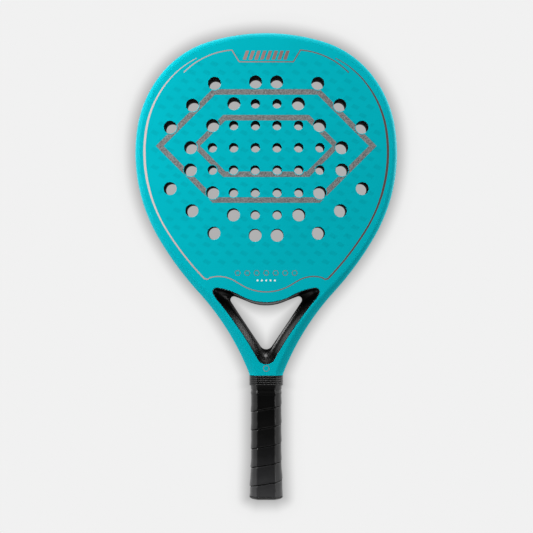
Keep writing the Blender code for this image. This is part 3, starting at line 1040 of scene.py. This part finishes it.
    def pinstripes(self) -> list[list[Flat]]:
        """The stripe down both sides, which swells at the widest part and ends in the wave
        over the throat, and the inner line with its cartouche at the top."""
        side = []
        for station in FORM.outline():
            spot = station.inwards(self.inset_at(station.z))
            if self.stripe_foot_z < spot[1] < self.stripe_top_z:
                side.append(spot)
        widths = []
        for _, z in side:
            along = (self.stripe_top_z - z) / (self.stripe_top_z - self.stripe_foot_z)
            # It swells soonest below its top, and keeps some of its width to the foot
            widths.append(mix(self.stripe_width, math.sin(math.pi * min(along * 1.1, 0.8))))
        wave = [(s.x, s.z) for s in walk(self.wave_start, 0.0, self.wave, 0.0, 1.0)]
        path = side + list(reversed(wave[:-1]))
        widths += [self.line_width] * (len(wave) - 1)
        high, (low_x, low_z) = self.cartouche
        arc = walk(high, self.shoulder_heading, self.shoulder, 0.0, 1.5)
        frame_path = [(0.0, low_z), (low_x, low_z), *((s.x, s.z) for s in arc)]
        shapes = self.ribbon(path, widths)
        shapes += self.ribbon(frame_path, [self.line_width] * len(frame_path))
        return shapes + [[(-x, z) for x, z in reversed(shape)] for shape in shapes]

    def slanted_bars(self) -> list[list[Flat]]:
        """The row of slanted bars in the cartouche."""
        half, half_z = self.bar_size[0] / 2, self.bar_size[1] / 2
        low, high = self.bars.z - half_z, self.bars.z + half_z
        lean = self.bar_size[1] * self.bar_slant / 2
        return [[(x - half - lean, low), (x + half - lean, low),
                 (x + half + lean, high), (x - half + lean, high)] for x in self.bars.middles()]

    @staticmethod
    def hexagon_outlines(row: Row, size: Flat) -> list[list[Flat]]:
        """Draws a row of hexagon outlines, each as six quads.

        Args:
            row: Where they are.
            size: Their radius and line width.

        Returns:
            The quads.
        """
        radius, line = size
        shapes = []
        for x in row.middles():
            outer, inner = circle(x, row.z, radius, 6), circle(x, row.z, radius - line, 6)
            for i in range(6):
                after = (i + 1) % 6
                shapes.append([outer[i], outer[after], inner[after], inner[i]])
        return shapes

    def hatch(self) -> list[list[Flat]]:
        """Rows of small hatched lozenges over the head inside the pinstripe, none of whose
        bars touches a hole."""
        region = mirrored([
            s.inwards(self.inset_at(s.z) + self.hatch_inset)
            for s in walk((0.0, FORM.length), 0.0, FORM.silhouette, 0.0, 6.0) if s.z > self.hatch_region_z
        ])
        half_x, half_z = self.hatch_half
        pitch_x, pitch_z = self.hatch_pitch
        shapes = []
        for row in range(int((FORM.length - self.hatch_low_z) / pitch_z)):
            z = self.hatch_low_z + row * pitch_z
            offset = pitch_x / 2 * (row % 2)
            for column in range(-self.hatch_columns, self.hatch_columns + 1):
                x = column * pitch_x + offset
                corners = ((x + half_x, z), (x - half_x, z), (x, z + half_z), (x, z - half_z))
                if all(encloses(region, corner) for corner in corners):
                    shapes += self._lozenge(x, z)
        return shapes

    def _lozenge(self, x: float, z: float) -> list[list[Flat]]:
        """Draws one lozenge of slanted bars, without those that a hole takes away.

        Args:
            x: Its middle.
            z: Its middle's height.

        Returns:
            The bars.
        """
        half_x, half_z = self.hatch_half
        half = self.hatch_bar / 2 * math.sqrt(2)
        clear = self.hole_clear[1]
        shapes = []
        count = int(half_x / self.hatch_bar_pitch)
        for number in range(-count, count + 1):
            shift = number * self.hatch_bar_pitch
            ends = []
            for sign in (-1, 1):
                # A 45 degree bar through (shift, 0) meets the lozenge's edge
                far = (half_x - sign * shift) * half_z / (half_x + half_z)
                ends.append((x + shift + sign * far, z + sign * far))
            (ax, az), (bx, bz) = ends
            bar = [(ax - half, az), (ax + half, az), (bx + half, bz), (bx - half, bz)]
            if bz - az >= self.hatch_least and all(
                math.hypot(px - hx, pz - hz) > radius + clear
                for px, pz in bar for hx, hz, radius in self.drilling.holes()
            ):
                shapes.append(bar)
        return shapes

    def build(self) -> None:
        """Prints both faces."""
        foil = self.pinstripes() + self.slanted_bars()
        foil += self.hexagon_outlines(self.neck_mark, self.neck_hexagon)
        films = (
            ("foil_lines", foil, FOIL, self.raised),
            ("flake_bands", self.hexagon_bands(), FLAKE, self.raised),
            ("flake_row", self.hexagon_outlines(self.row, self.row_hexagon), FLAKE, self.raised),
            ("white_dots", [circle(x, self.dots.z, self.dot_radius, 12)
                            for x in self.dots.middles()], WHITE_INK, self.raised),
            ("tone_hatch", self.hatch(), TONE_INK, self.hatch_raised),
        )
        for side in Side:
            for name, shapes, finish, raised in films:
                self.film(f"{name}_{side.name.lower()}", shapes, side, finish, raised)


# Throat --------------------------------------------------------------------------------


@dataclass
class ThroatMoulding:
    """The polished lining of the throat: a small lip at each face, walls that scoop in to
    the middle, and a land along the narrowest ring."""

    lip: tuple[Flat, ...] = (  # insets from the throat's edge and depths under the face
        (0.12, 1.2), (0.12, 0.25), (0.32, 0.05), (0.55, 0.05),
    )
    wall_inset: float = 0.7
    wall_start: float = 0.012  # where the wall begins, as a share of the half's depth
    wall_steps: int = 14
    scoop_turn: float = 84.0  # degrees that the wall turns through, from the face inwards
    band: float = 2.6

    def build(self) -> None:
        """Builds the moulding through both faces."""
        half = [[(x, FORM.half_thickness(z) - lower, z) for x, z in FORM.throat(inset)]
                for inset, lower in self.lip]
        rise = FORM.throat(self.wall_inset)
        ring = self.matched(rise, FORM.ring())
        last = math.radians(self.scoop_turn)
        for step in range(self.wall_steps + 1):
            angle = last * step / self.wall_steps
            share = (1 - math.cos(angle)) / (1 - math.cos(last))
            depth = self.wall_start + math.sin(angle) / math.sin(last) * (1 - self.wall_start)
            loop = []
            for (ax, az), (bx, bz) in zip(rise, ring):
                z = az + (bz - az) * share
                surface = FORM.half_thickness(z)
                loop.append((ax + (bx - ax) * share, surface + (self.band / 2 - surface) * depth, z))
            half.append(loop)
        loft = Loft()
        front = [loft.loop([(x, -y, z) for x, y, z in loop]) for loop in half]
        back = [loft.loop(loop) for loop in reversed(half)]
        loft.skin(front + back, ring=True)
        made = loft.make("throat_moulding", [paint(MOULDING)], 50.0)
        settle(made, MOULDING.slot, stands_for="throat_liner")

    @staticmethod
    def matched(edge: Sequence[Flat], ring: Sequence[Flat]) -> list[Flat]:
        """The ring's outline with as many points as the edge's, corner to corner.

        Args:
            edge: The throat's edge, closed.
            ring: The narrowest ring, closed.

        Returns:
            Points on the ring, one for each of the edge's.
        """

        def marks(outline: Sequence[Flat]) -> list[float]:
            """Measures along an outline.

            Args:
                outline: Its points, closed.

            Returns:
                The distance to each point, and all the way round.
            """
            total, found = 0.0, [0.0]
            for a, b in zip(outline, list(outline[1:]) + [outline[0]]):
                total += math.dist(a, b)
                found.append(total)
            return found

        def corners(outline: Sequence[Flat]) -> list[int]:
            """Finds an outline's corners.

            Args:
                outline: Its points, closed.

            Returns:
                The numbers of its top, right, lowest and left points, and their count.
            """
            right = max(range(len(outline)), key=lambda i: outline[i][0] + outline[i][1] * 0.9)
            left = max(range(len(outline)), key=lambda i: -outline[i][0] + outline[i][1] * 0.9)
            apex = min(range(len(outline)), key=lambda i: outline[i][1])
            return [0, right, apex, left, len(outline)]

        edge_marks, ring_marks = marks(edge), marks(ring)
        edge_corners, ring_corners = corners(edge), corners(ring)
        closed = list(ring) + [ring[0]]
        found = []
        for (a, b), (c, d) in zip(zip(edge_corners, edge_corners[1:]),
                                  zip(ring_corners, ring_corners[1:])):
            for number in range(a, b):
                part = (edge_marks[number] - edge_marks[a]) / (edge_marks[b] - edge_marks[a])
                target = ring_marks[c] + part * (ring_marks[d] - ring_marks[c])
                at = c
                while at < d - 1 and ring_marks[at + 1] < target:
                    at += 1
                span = max(ring_marks[at + 1] - ring_marks[at], 1e-9)
                share = (target - ring_marks[at]) / span
                (ax, az), (bx, bz) = closed[at], closed[at + 1]
                found.append((ax + (bx - ax) * share, az + (bz - az) * share))
        return found


# Handle --------------------------------------------------------------------------------


@dataclass
class Handle:
    """The wound grip with its tape, collar and butt cap, all on one octagon."""

    half_x: float = 14.55
    half_y: float = 16.0
    corner: float = 5.85
    grip_low_z: float = 3.4
    grip_top_z: float = 117.4
    grip_thickness: float = 2.0
    swell: float = 0.6  # how much the strip swells where the tape doesn't press it
    swell_z: Flat = (107.6, 103.6)  # where the swell starts and is full, going down
    flare: float = 1.1
    flare_top_z: float = 42.0
    flare_end_z: float = 12.0
    turn_pitch: float = 18.2
    seam_z: float = 16.3  # where a seam crosses the middle of the front
    strip_edge: float = 0.45  # how far the strip's edge stands over the turn below
    strip_lap: float = 8.0
    gap_run: float = 1.6
    step_run: float = 0.5
    gap_depth: float = 1.1
    painted_shade_depth: float = 0.8  # deeper than this, the strip takes the seam's painted shade
    tape_z: Flat = (107.8, 116.9)
    tape_offsets: tuple[float, ...] = (0.3, 0.35, 0.5, 0.6)  # inside, edge and both turns
    collar_z: Flat = (111.4, 121.3)
    collar_inside: float = 0.95
    collar_outside: float = 1.9
    collar_groove: float = 0.5
    collar_ribs: int = 5
    rib_steps: int = 8
    rib_fullness: float = 0.6  # less makes the ribs' crests broader
    clearance: float = 0.3
    cap_flange_z: float = 3.1
    cap_floor_z: float = 4.2
    cap_skirt_z: float = 40.0
    cap_wall: float = 0.75
    cap_round: float = 7.1
    cord_hole: float = 8.0
    cord_mouth: tuple[Flat, ...] = ((0.8, 0.0), (0.25, 0.2), (0.0, 0.8))  # its rounded mouth
    cap_steps: int = 10
    cap_edge: float = 0.2
    cap_corners: Flat = (1.2, 6.0)
    inside_corners: Flat = (1.0, 2.0)
    corner_steps: int = 5
    flat_steps: int = 6
    rows: int = 330
    end_round: Flat = (0.12, 0.4)  # the grip's ends drop by the first over the second
    winding_run: float = 2.0

    def octagon(self, offset: float, front: float = 2.6,
                side: float = 12.0) -> list[tuple[float, float, float]]:
        """Points round the handle.

        Args:
            offset: How far out from the grip's nominal octagon.
            front: Radius of the four corners beside the front and back flats.
            side: Radius of the four corners beside the side flats.

        Returns:
            x, y and the share of the way round from the front's middle, in order.
        """
        half_x, half_y = self.half_x + offset, self.half_y + offset
        cut = self.corner + offset * (2 - math.sqrt(2))
        right = [(half_x - cut, -half_y), (half_x, -half_y + cut),
                 (half_x, half_y - cut), (half_x - cut, half_y)]
        corners = [Vector(p) for p in right + [(-x, y) for x, y in reversed(right)]]
        radii = [front, side, side, front] * 2
        tangent = math.tan(math.radians(22.5))
        points: list[Vector] = []
        for i, (corner, radius) in enumerate(zip(corners, radii)):
            before = (corners[i - 1] - corner).normalized()
            after = (corners[(i + 1) % 8] - corner).normalized()
            start, end = corner + before * radius * tangent, corner + after * radius * tangent
            centre = corner + (before + after).normalized() * radius / math.cos(math.radians(22.5))
            first = math.atan2(start.y - centre.y, start.x - centre.x)
            for step in range(self.corner_steps + 1):
                angle = first + math.radians(45) * step / self.corner_steps
                points.append(centre + Vector((math.cos(angle), math.sin(angle))) * radius)
            beyond = corners[(i + 1) % 8] - after * radii[(i + 1) % 8] * tangent
            for step in range(1, self.flat_steps):
                points.append(end.lerp(beyond, step / self.flat_steps))
        lengths = [(b - a).length for a, b in zip(points, points[1:] + points[:1])]
        total = sum(lengths)
        along, found = points[0].x / total, []
        for point, length in zip(points, lengths):
            found.append((point.x, point.y, along % 1.0))
            along += length / total
        return found

    def body_offset(self, z: float) -> float:
        """The wound grip's offset at a height: its swell, and its flare at the butt."""
        flare = fade(z, self.flare_top_z, self.flare_end_z)
        return self.flare * flare + self.swell * fade(z, *self.swell_z)

    def straight_flare(self, z: float) -> float:
        """The flare of the pieces inside the grip at a height."""
        along = (self.flare_top_z - z) / (self.flare_top_z - self.flare_end_z)
        return self.flare * min(max(along, 0.0), 1.0)

    def winding(self, z: float, round_share: float) -> float:
        """How far the wound strip's surface lies under the sleeve's outside at a point.

        Each turn's lower edge stands proud over a narrow gap, and from there the strip
        settles down to the level that the next turn laps.

        Args:
            z: The point's height.
            round_share: Its share of the way round.

        Returns:
            The depth.
        """
        turns = (z - self.seam_z) / self.turn_pitch - round_share
        above = (turns % 1.0) * self.turn_pitch
        step = self.gap_depth * (1 - smooth(above / self.step_run))
        dip = smooth(1 - (self.turn_pitch - above) / self.gap_run)
        settled = self.strip_edge * smooth((above - self.step_run) / self.strip_lap)
        return max(step, settled + dip * (self.gap_depth - self.strip_edge))

    def build_grip(self) -> None:
        """Builds the strip's turns as one skin, each lapping the turn below."""
        loft = Loft()
        outside, sunk = [], []
        for row in range(self.rows + 1):
            z = self.grip_low_z + (self.grip_top_z - self.grip_low_z) * row / self.rows
            ends = min(z - self.grip_low_z, self.grip_top_z - z)
            edge = self.end_round[0] * (1 - smooth(ends / self.end_round[1]))
            wound = smooth((self.swell_z[1] - z) / self.winding_run)
            ring, depths = [], []
            for x, y, share in self.octagon(self.body_offset(z)):
                depths.append(self.winding(z, share) * wound)
                lower = depths[-1] + edge
                length = math.hypot(x, y)
                ring.append((x - x / length * lower, y - y / length * lower, z))
            outside.append(loft.loop(ring))
            sunk.append(depths)
        for low, high, depths in zip(outside, outside[1:], sunk):
            for i, corner in enumerate(low):
                after = (i + 1) % len(low)
                # faces deep in a seam take the painted seam shade
                loft.face((corner, low[after], high[after], high[i]),
                          int(depths[i] > self.painted_shade_depth))
        inside = []
        for z in (self.grip_top_z, self.flare_top_z, self.flare_end_z, self.grip_low_z):
            offset = self.straight_flare(z) - self.grip_thickness
            corners = self.octagon(offset, *self.inside_corners)
            inside.append(loft.loop([(x, y, z) for x, y, _ in corners]))
        loft.skin([outside[-1], *inside, outside[0]])
        grip = loft.make("wound_grip", [paint(LEATHER), paint(PAINTED_SEAM_SHADE)], 60.0)
        settle(grip, LEATHER.slot, stands_for="base_grip")

    def sleeve(self, name: str, profile: Sequence[Flat], finish: Finish, body: str,
               node: str) -> None:
        """Makes a sleeve round the grip.

        Args:
            name: The piece's name.
            profile: Its closed section, as heights and offsets from the octagon.
            finish: Its finish.
            body: The body that it moves with.
            node: The CAD node that it replaces.
        """
        loft = Loft()
        loops = [loft.loop([(x, y, z) for x, y, _ in self.octagon(offset)])
                 for z, offset in profile]
        loft.skin(loops, ring=True)
        settle(loft.make(name, [paint(finish)], 50.0), finish.slot, body, node)

    def build_tape(self) -> None:
        """Builds two turns of finishing tape, the second lapping the first."""
        low, high = self.tape_z
        middle = (low + high) / 2
        inside, edge, first, second = self.tape_offsets
        profile = ((low, edge), (low + 0.1, first), (middle, first), (middle + 0.15, second),
                   (high, second), (high, inside), (low, inside))
        self.sleeve("end_tape", profile, VINYL, RACKET, "finishing_tape")

    def build_collar(self) -> None:
        """Builds the ribbed collar, whose ribs are round."""
        low, high = self.collar_z
        pitch = (high - low) / self.collar_ribs
        profile = []
        for rib in range(self.collar_ribs):
            for step in range(self.rib_steps):
                part = step / self.rib_steps
                dip = self.collar_groove * (1 - math.sin(math.pi * part) ** self.rib_fullness)
                profile.append((low + (rib + part) * pitch, self.collar_outside - dip))
        profile += [(high, self.collar_outside - self.collar_groove),
                    (high - 0.1, self.collar_inside), (low + 0.1, self.collar_inside)]
        self.sleeve("ribbed_collar", profile, RUBBER, COLLAR, "grip_collar")

    def build_cap(self) -> None:
        """Builds the cap: its skirt, its flange and its rounded bottom with the cord hole."""
        loft = Loft()
        flange = self.flare + self.swell
        skirt = -self.grip_thickness - self.clearance
        inside = skirt - self.cap_wall
        profile = [(self.cap_floor_z, inside), (self.cap_skirt_z, inside),
                   (self.cap_skirt_z, skirt + self.straight_flare(self.cap_skirt_z)),
                   (self.flare_end_z, skirt + self.flare), (self.cap_flange_z, skirt + self.flare),
                   (self.cap_flange_z, flange - self.cap_edge)]
        for step in range(self.cap_steps + 1):
            angle = math.pi / 2 * step / self.cap_steps
            profile.append(((self.cap_flange_z - self.cap_edge) * (1 - math.sin(angle)),
                            flange - self.cap_round * (1 - math.cos(angle))))
        loops = []
        for z, offset in profile:
            corners = self.octagon(offset, *self.cap_corners)
            loops.append(loft.loop([(x, y, z) for x, y, _ in corners]))
        radius = self.cord_hole / 2
        mouth = [(radius + grown, z) for grown, z in self.cord_mouth]
        for wide, z in (*mouth, (radius, self.cap_floor_z)):
            ring = []
            for x, y, _ in self.octagon(0.0):
                length = math.hypot(x, y)
                ring.append((x / length * wide, y / length * wide, z))
            loops.append(loft.loop(ring))
        loft.skin(loops, ring=True)
        cap = loft.make("cap_moulding", [paint(NYLON)], 40.0)
        settle(cap, NYLON.slot, stands_for="butt_cap")

    def build(self) -> None:
        """Builds the grip, tape, collar and cap."""
        self.build_grip()
        self.build_tape()
        self.build_collar()
        self.build_cap()


@dataclass
class HiddenParts:
    """The CAD pieces that keep their shape, inside the head and the handle."""

    finishes: tuple[tuple[str, Finish], ...] = (
        ("throat_bridge", PLIES),
        ("handle_filler", PU_FOAM),
        ("pallet_front", PU_FOAM),
        ("pallet_back", PU_FOAM),
        ("cap_staple_front", STEEL),
        ("cap_staple_back", STEEL),
    )

    def dress(self) -> None:
        """Gives each of them its material."""
        for name, finish in self.finishes:
            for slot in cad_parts[name].material_slots:
                slot.material = paint(finish)
            LOG.info("%s: dressed in %s", name, finish.name)


# Studio --------------------------------------------------------------------------------


@dataclass
class Studio:
    """A pale sheet close behind the racket, soft lights and the camera."""

    distance: float = 1.415
    lens: float = 97.25
    height: float = 0.2275
    aside: float = 0.0003
    sheet_y: float = 0.0200
    sheet_size: float = 12.0
    grid: float = 2.0  # in millimetres, over the part near the racket
    grid_x: Flat = (-175.0, 176.0)
    grid_z: Flat = (-45.0, 501.0)
    edge_y: float = -0.010  # where the racket's outline lies in depth
    handle_outline: tuple[Flat, ...] = (
        (16.5, 111.4), (15.1, 111.3), (15.1, 42.0), (16.2, 12.0), (16.2, 2.6), (9.0, -0.8),
    )
    # the painted shadow on the sheet: how far out from the racket it reaches, and its greys
    painted_shadow_mm: float = 24.0
    painted_shadow_stops: Stops = (
        (0.0, "b1b1b1"), (0.02, "b8b8b8"), (0.054, "bebebe"), (0.18, "cccccc"),
        (0.30, "d9d9d9"), (0.39, "e2e2e2"), (0.47, "e8e8e8"), (0.55, "ededed"),
        (0.64, "efefef"), (0.80, "f0f0f0"), (1.0, "f1f1f1"),
    )
    pale: str = "f1f1f1"
    surround: Stops = (
        (0.0, "e0e0e0"), (0.12, "dadada"), (0.35, "c8c8c8"), (0.65, "6c6c6c"), (1.0, "161616"),
    )

    lights: tuple[tuple[str, Point, float, float], ...] = (  # place, size and power, in front
        ("key", (-0.62, -0.36, 0.42), 0.3, 4.0),
        ("fill", (2.4, -2.4, 0.6), 1.6, 29.5),
        ("top", (0.1, -0.6, 1.6), 0.5, 10.0),
    )

    def camera(self) -> None:
        """Puts the camera straight in front of the racket's middle."""
        data = bpy.data.cameras.new("camera")
        data.lens = self.lens
        data.sensor_width = 36.0
        made = link("camera", data)
        made.location = (self.aside, -self.distance, self.height)
        made.rotation_euler = (math.pi / 2, 0.0, 0.0)
        bpy.context.scene.camera = made

    def outline(self) -> list[Flat]:
        """The racket's outline with its handle, which the sheet's painted shadow follows."""
        half = [(station.x, station.z) for station in FORM.outline()]
        return mirrored([(0.0, FORM.length), *half[1:], *self.handle_outline])

    def gaps(self, xs: np.ndarray, zs: np.ndarray) -> np.ndarray:
        """How far spots of the sheet lie from the racket, as the camera sees them.

        Args:
            xs: The grid's x, in millimetres.
            zs: Its heights.

        Returns:
            Distances in millimetres, with 0 behind the racket.
        """
        x, z = np.meshgrid(xs, zs, indexing="ij")
        nearest = np.full(x.shape, np.inf)
        hidden = np.zeros(x.shape, bool)
        for points, plane_y in ((self.outline(), self.edge_y), (FORM.ring(), 0.0)):
            grown = (self.distance + self.sheet_y) / (self.distance + plane_y)
            middle = self.height / MM
            cast = [(px * grown, middle + (pz - middle) * grown) for px, pz in points]
            for (ax, az), (bx, bz) in zip(cast, cast[1:] + cast[:1]):
                way_x, way_z = bx - ax, bz - az
                square = max(way_x**2 + way_z**2, 1e-9)
                along = np.clip(((x - ax) * way_x + (z - az) * way_z) / square, 0, 1)
                apart = np.hypot(x - ax - along * way_x, z - az - along * way_z)
                nearest = np.minimum(nearest, apart)
                if az != bz:
                    crossed = x < ax + (z - az) / (bz - az) * way_x
                    hidden ^= ((az > z) != (bz > z)) & crossed
        return np.where(hidden, 0.0, nearest)

    def backdrop(self) -> None:
        """Stands the sheet behind the racket. Its glow carries a painted shadow that darkens softly
        towards the racket's outline, and it isn't seen from behind."""
        far = self.sheet_size / MM / 2
        xs, zs = (np.concatenate([[-far], np.arange(*ends, self.grid), [far]])
                  for ends in (self.grid_x, self.grid_z))
        gap = self.gaps(xs, zs)
        rows = len(zs)
        corners = [(x * MM, self.sheet_y, z * MM) for x in xs for z in zs]
        quads = []
        for i in range(len(xs) - 1):
            for j in range(rows - 1):
                first = i * rows + j
                quads.append((first, first + rows, first + rows + 1, first + 1))
        mesh = bpy.data.meshes.new("backdrop")
        mesh.from_pydata(corners, [], quads)
        mesh.attributes.new("gap", "FLOAT", "POINT").data.foreach_set("value", gap.ravel())
        mesh.materials.append(self.paper())
        sheet = link("backdrop", mesh)
        sheet.visible_shadow = False
        sheet.visible_diffuse = False

    def paper(self) -> bpy.types.Material:
        """The sheet's pale paper, glowing, with a painted shadow that darkens it by the gap to the
        racket.
        """
        made = bpy.data.materials.new("paper_with_painted_shadow")
        made.use_nodes = True
        tree = made.node_tree
        tree.nodes.remove(tree.nodes["Principled BSDF"])
        gap = add(tree, "ShaderNodeAttribute", {"attribute_name": "gap"})
        share = add(tree, "ShaderNodeMapRange", {"From Max": self.painted_shadow_mm},
                    {"Value": gap.outputs["Fac"]})
        # painted shadow: the glow darkens by the gap to the racket
        shade = add(tree, "ShaderNodeValToRGB", {"stops": self.painted_shadow_stops},
                    {"Fac": share.outputs["Result"]})
        glow = add(tree, "ShaderNodeEmission", {"Strength": 1.0}, {"Color": shade.outputs["Color"]})
        clear = add(tree, "ShaderNodeBsdfTransparent")
        turned = add(tree, "ShaderNodeNewGeometry")
        both = add(tree, "ShaderNodeMixShader", links={
            0: turned.outputs["Backfacing"], 1: glow.outputs["Emission"], 2: clear.outputs["BSDF"],
        })
        tree.links.new(both.outputs["Shader"], tree.nodes["Material Output"].inputs["Surface"])
        return made

    def world(self) -> None:
        """Surrounds it with light that is brightest level with the racket's sides and dim
        straight in front of and behind it. To the camera it is the pale of the sheet."""
        world = bpy.data.worlds.new("studio")
        bpy.context.scene.world = world
        world.use_nodes = True
        tree = world.node_tree
        way = add(tree, "ShaderNodeTexCoord").outputs["Generated"]
        apart = add(tree, "ShaderNodeSeparateXYZ", links={"Vector": way})
        facing = add(tree, "ShaderNodeMath", {"operation": "ABSOLUTE"}, {0: apart.outputs["Y"]})
        glow = add(tree, "ShaderNodeValToRGB", {"stops": self.surround},
                   {"Fac": facing.outputs["Value"]})
        seen = add(tree, "ShaderNodeLightPath").outputs["Is Camera Ray"]
        lit = tree.nodes["Background"]
        tree.links.new(glow.outputs["Color"], lit.inputs["Color"])
        lit.inputs["Strength"].default_value = 1.0
        pale = add(tree, "ShaderNodeBackground", {"Color": linear(self.pale), "Strength": 1.0})
        both = add(tree, "ShaderNodeMixShader", links={
            0: seen, 1: lit.outputs["Background"], 2: pale.outputs["Background"],
        })
        tree.links.new(both.outputs["Shader"], tree.nodes["World Output"].inputs["Surface"])

    def softbox(self, name: str, place: Point, size: float, power: float) -> None:
        """Aims a square softbox at the racket's middle.

        Args:
            name: Its name.
            place: Where it hangs.
            size: Its side.
            power: Its power in watts.
        """
        data = bpy.data.lights.new(name, "AREA")
        data.shape = "SQUARE"
        data.size = size
        data.energy = power
        made = link(name, data)
        made.location = place
        aim = Vector((0.0, 0.0, self.height)) - Vector(place)
        made.rotation_euler = aim.to_track_quat("-Z", "Y").to_euler()

    def build(self) -> None:
        """Sets up everything that isn't the racket."""
        self.camera()
        self.backdrop()
        self.world()
        for side in Side:
            turn = -side.value
            for name, (x, y, z), size, power in self.lights:
                place = (x * turn, y * turn, z)
                self.softbox(f"{name}_{side.name.lower()}", place, size, power)
        bpy.context.scene.view_settings.view_transform = "Standard"


def main() -> None:
    """Builds the racket's pieces and the studio."""
    logging.basicConfig(level=logging.INFO, format="%(message)s")
    Studio().build()
    rim, drilling = RimFrame(), Drilling()
    rim.build()
    head = Head(rim, drilling)
    head.build_face("front_laminate", Side.FRONT, "front_face")
    head.build_face("back_laminate", Side.BACK, "back_face")
    head.build_core()
    Prints(drilling).build()
    ThroatMoulding().build()
    Handle().build()
    HiddenParts().dress()


if __name__ == "__main__":
    main()
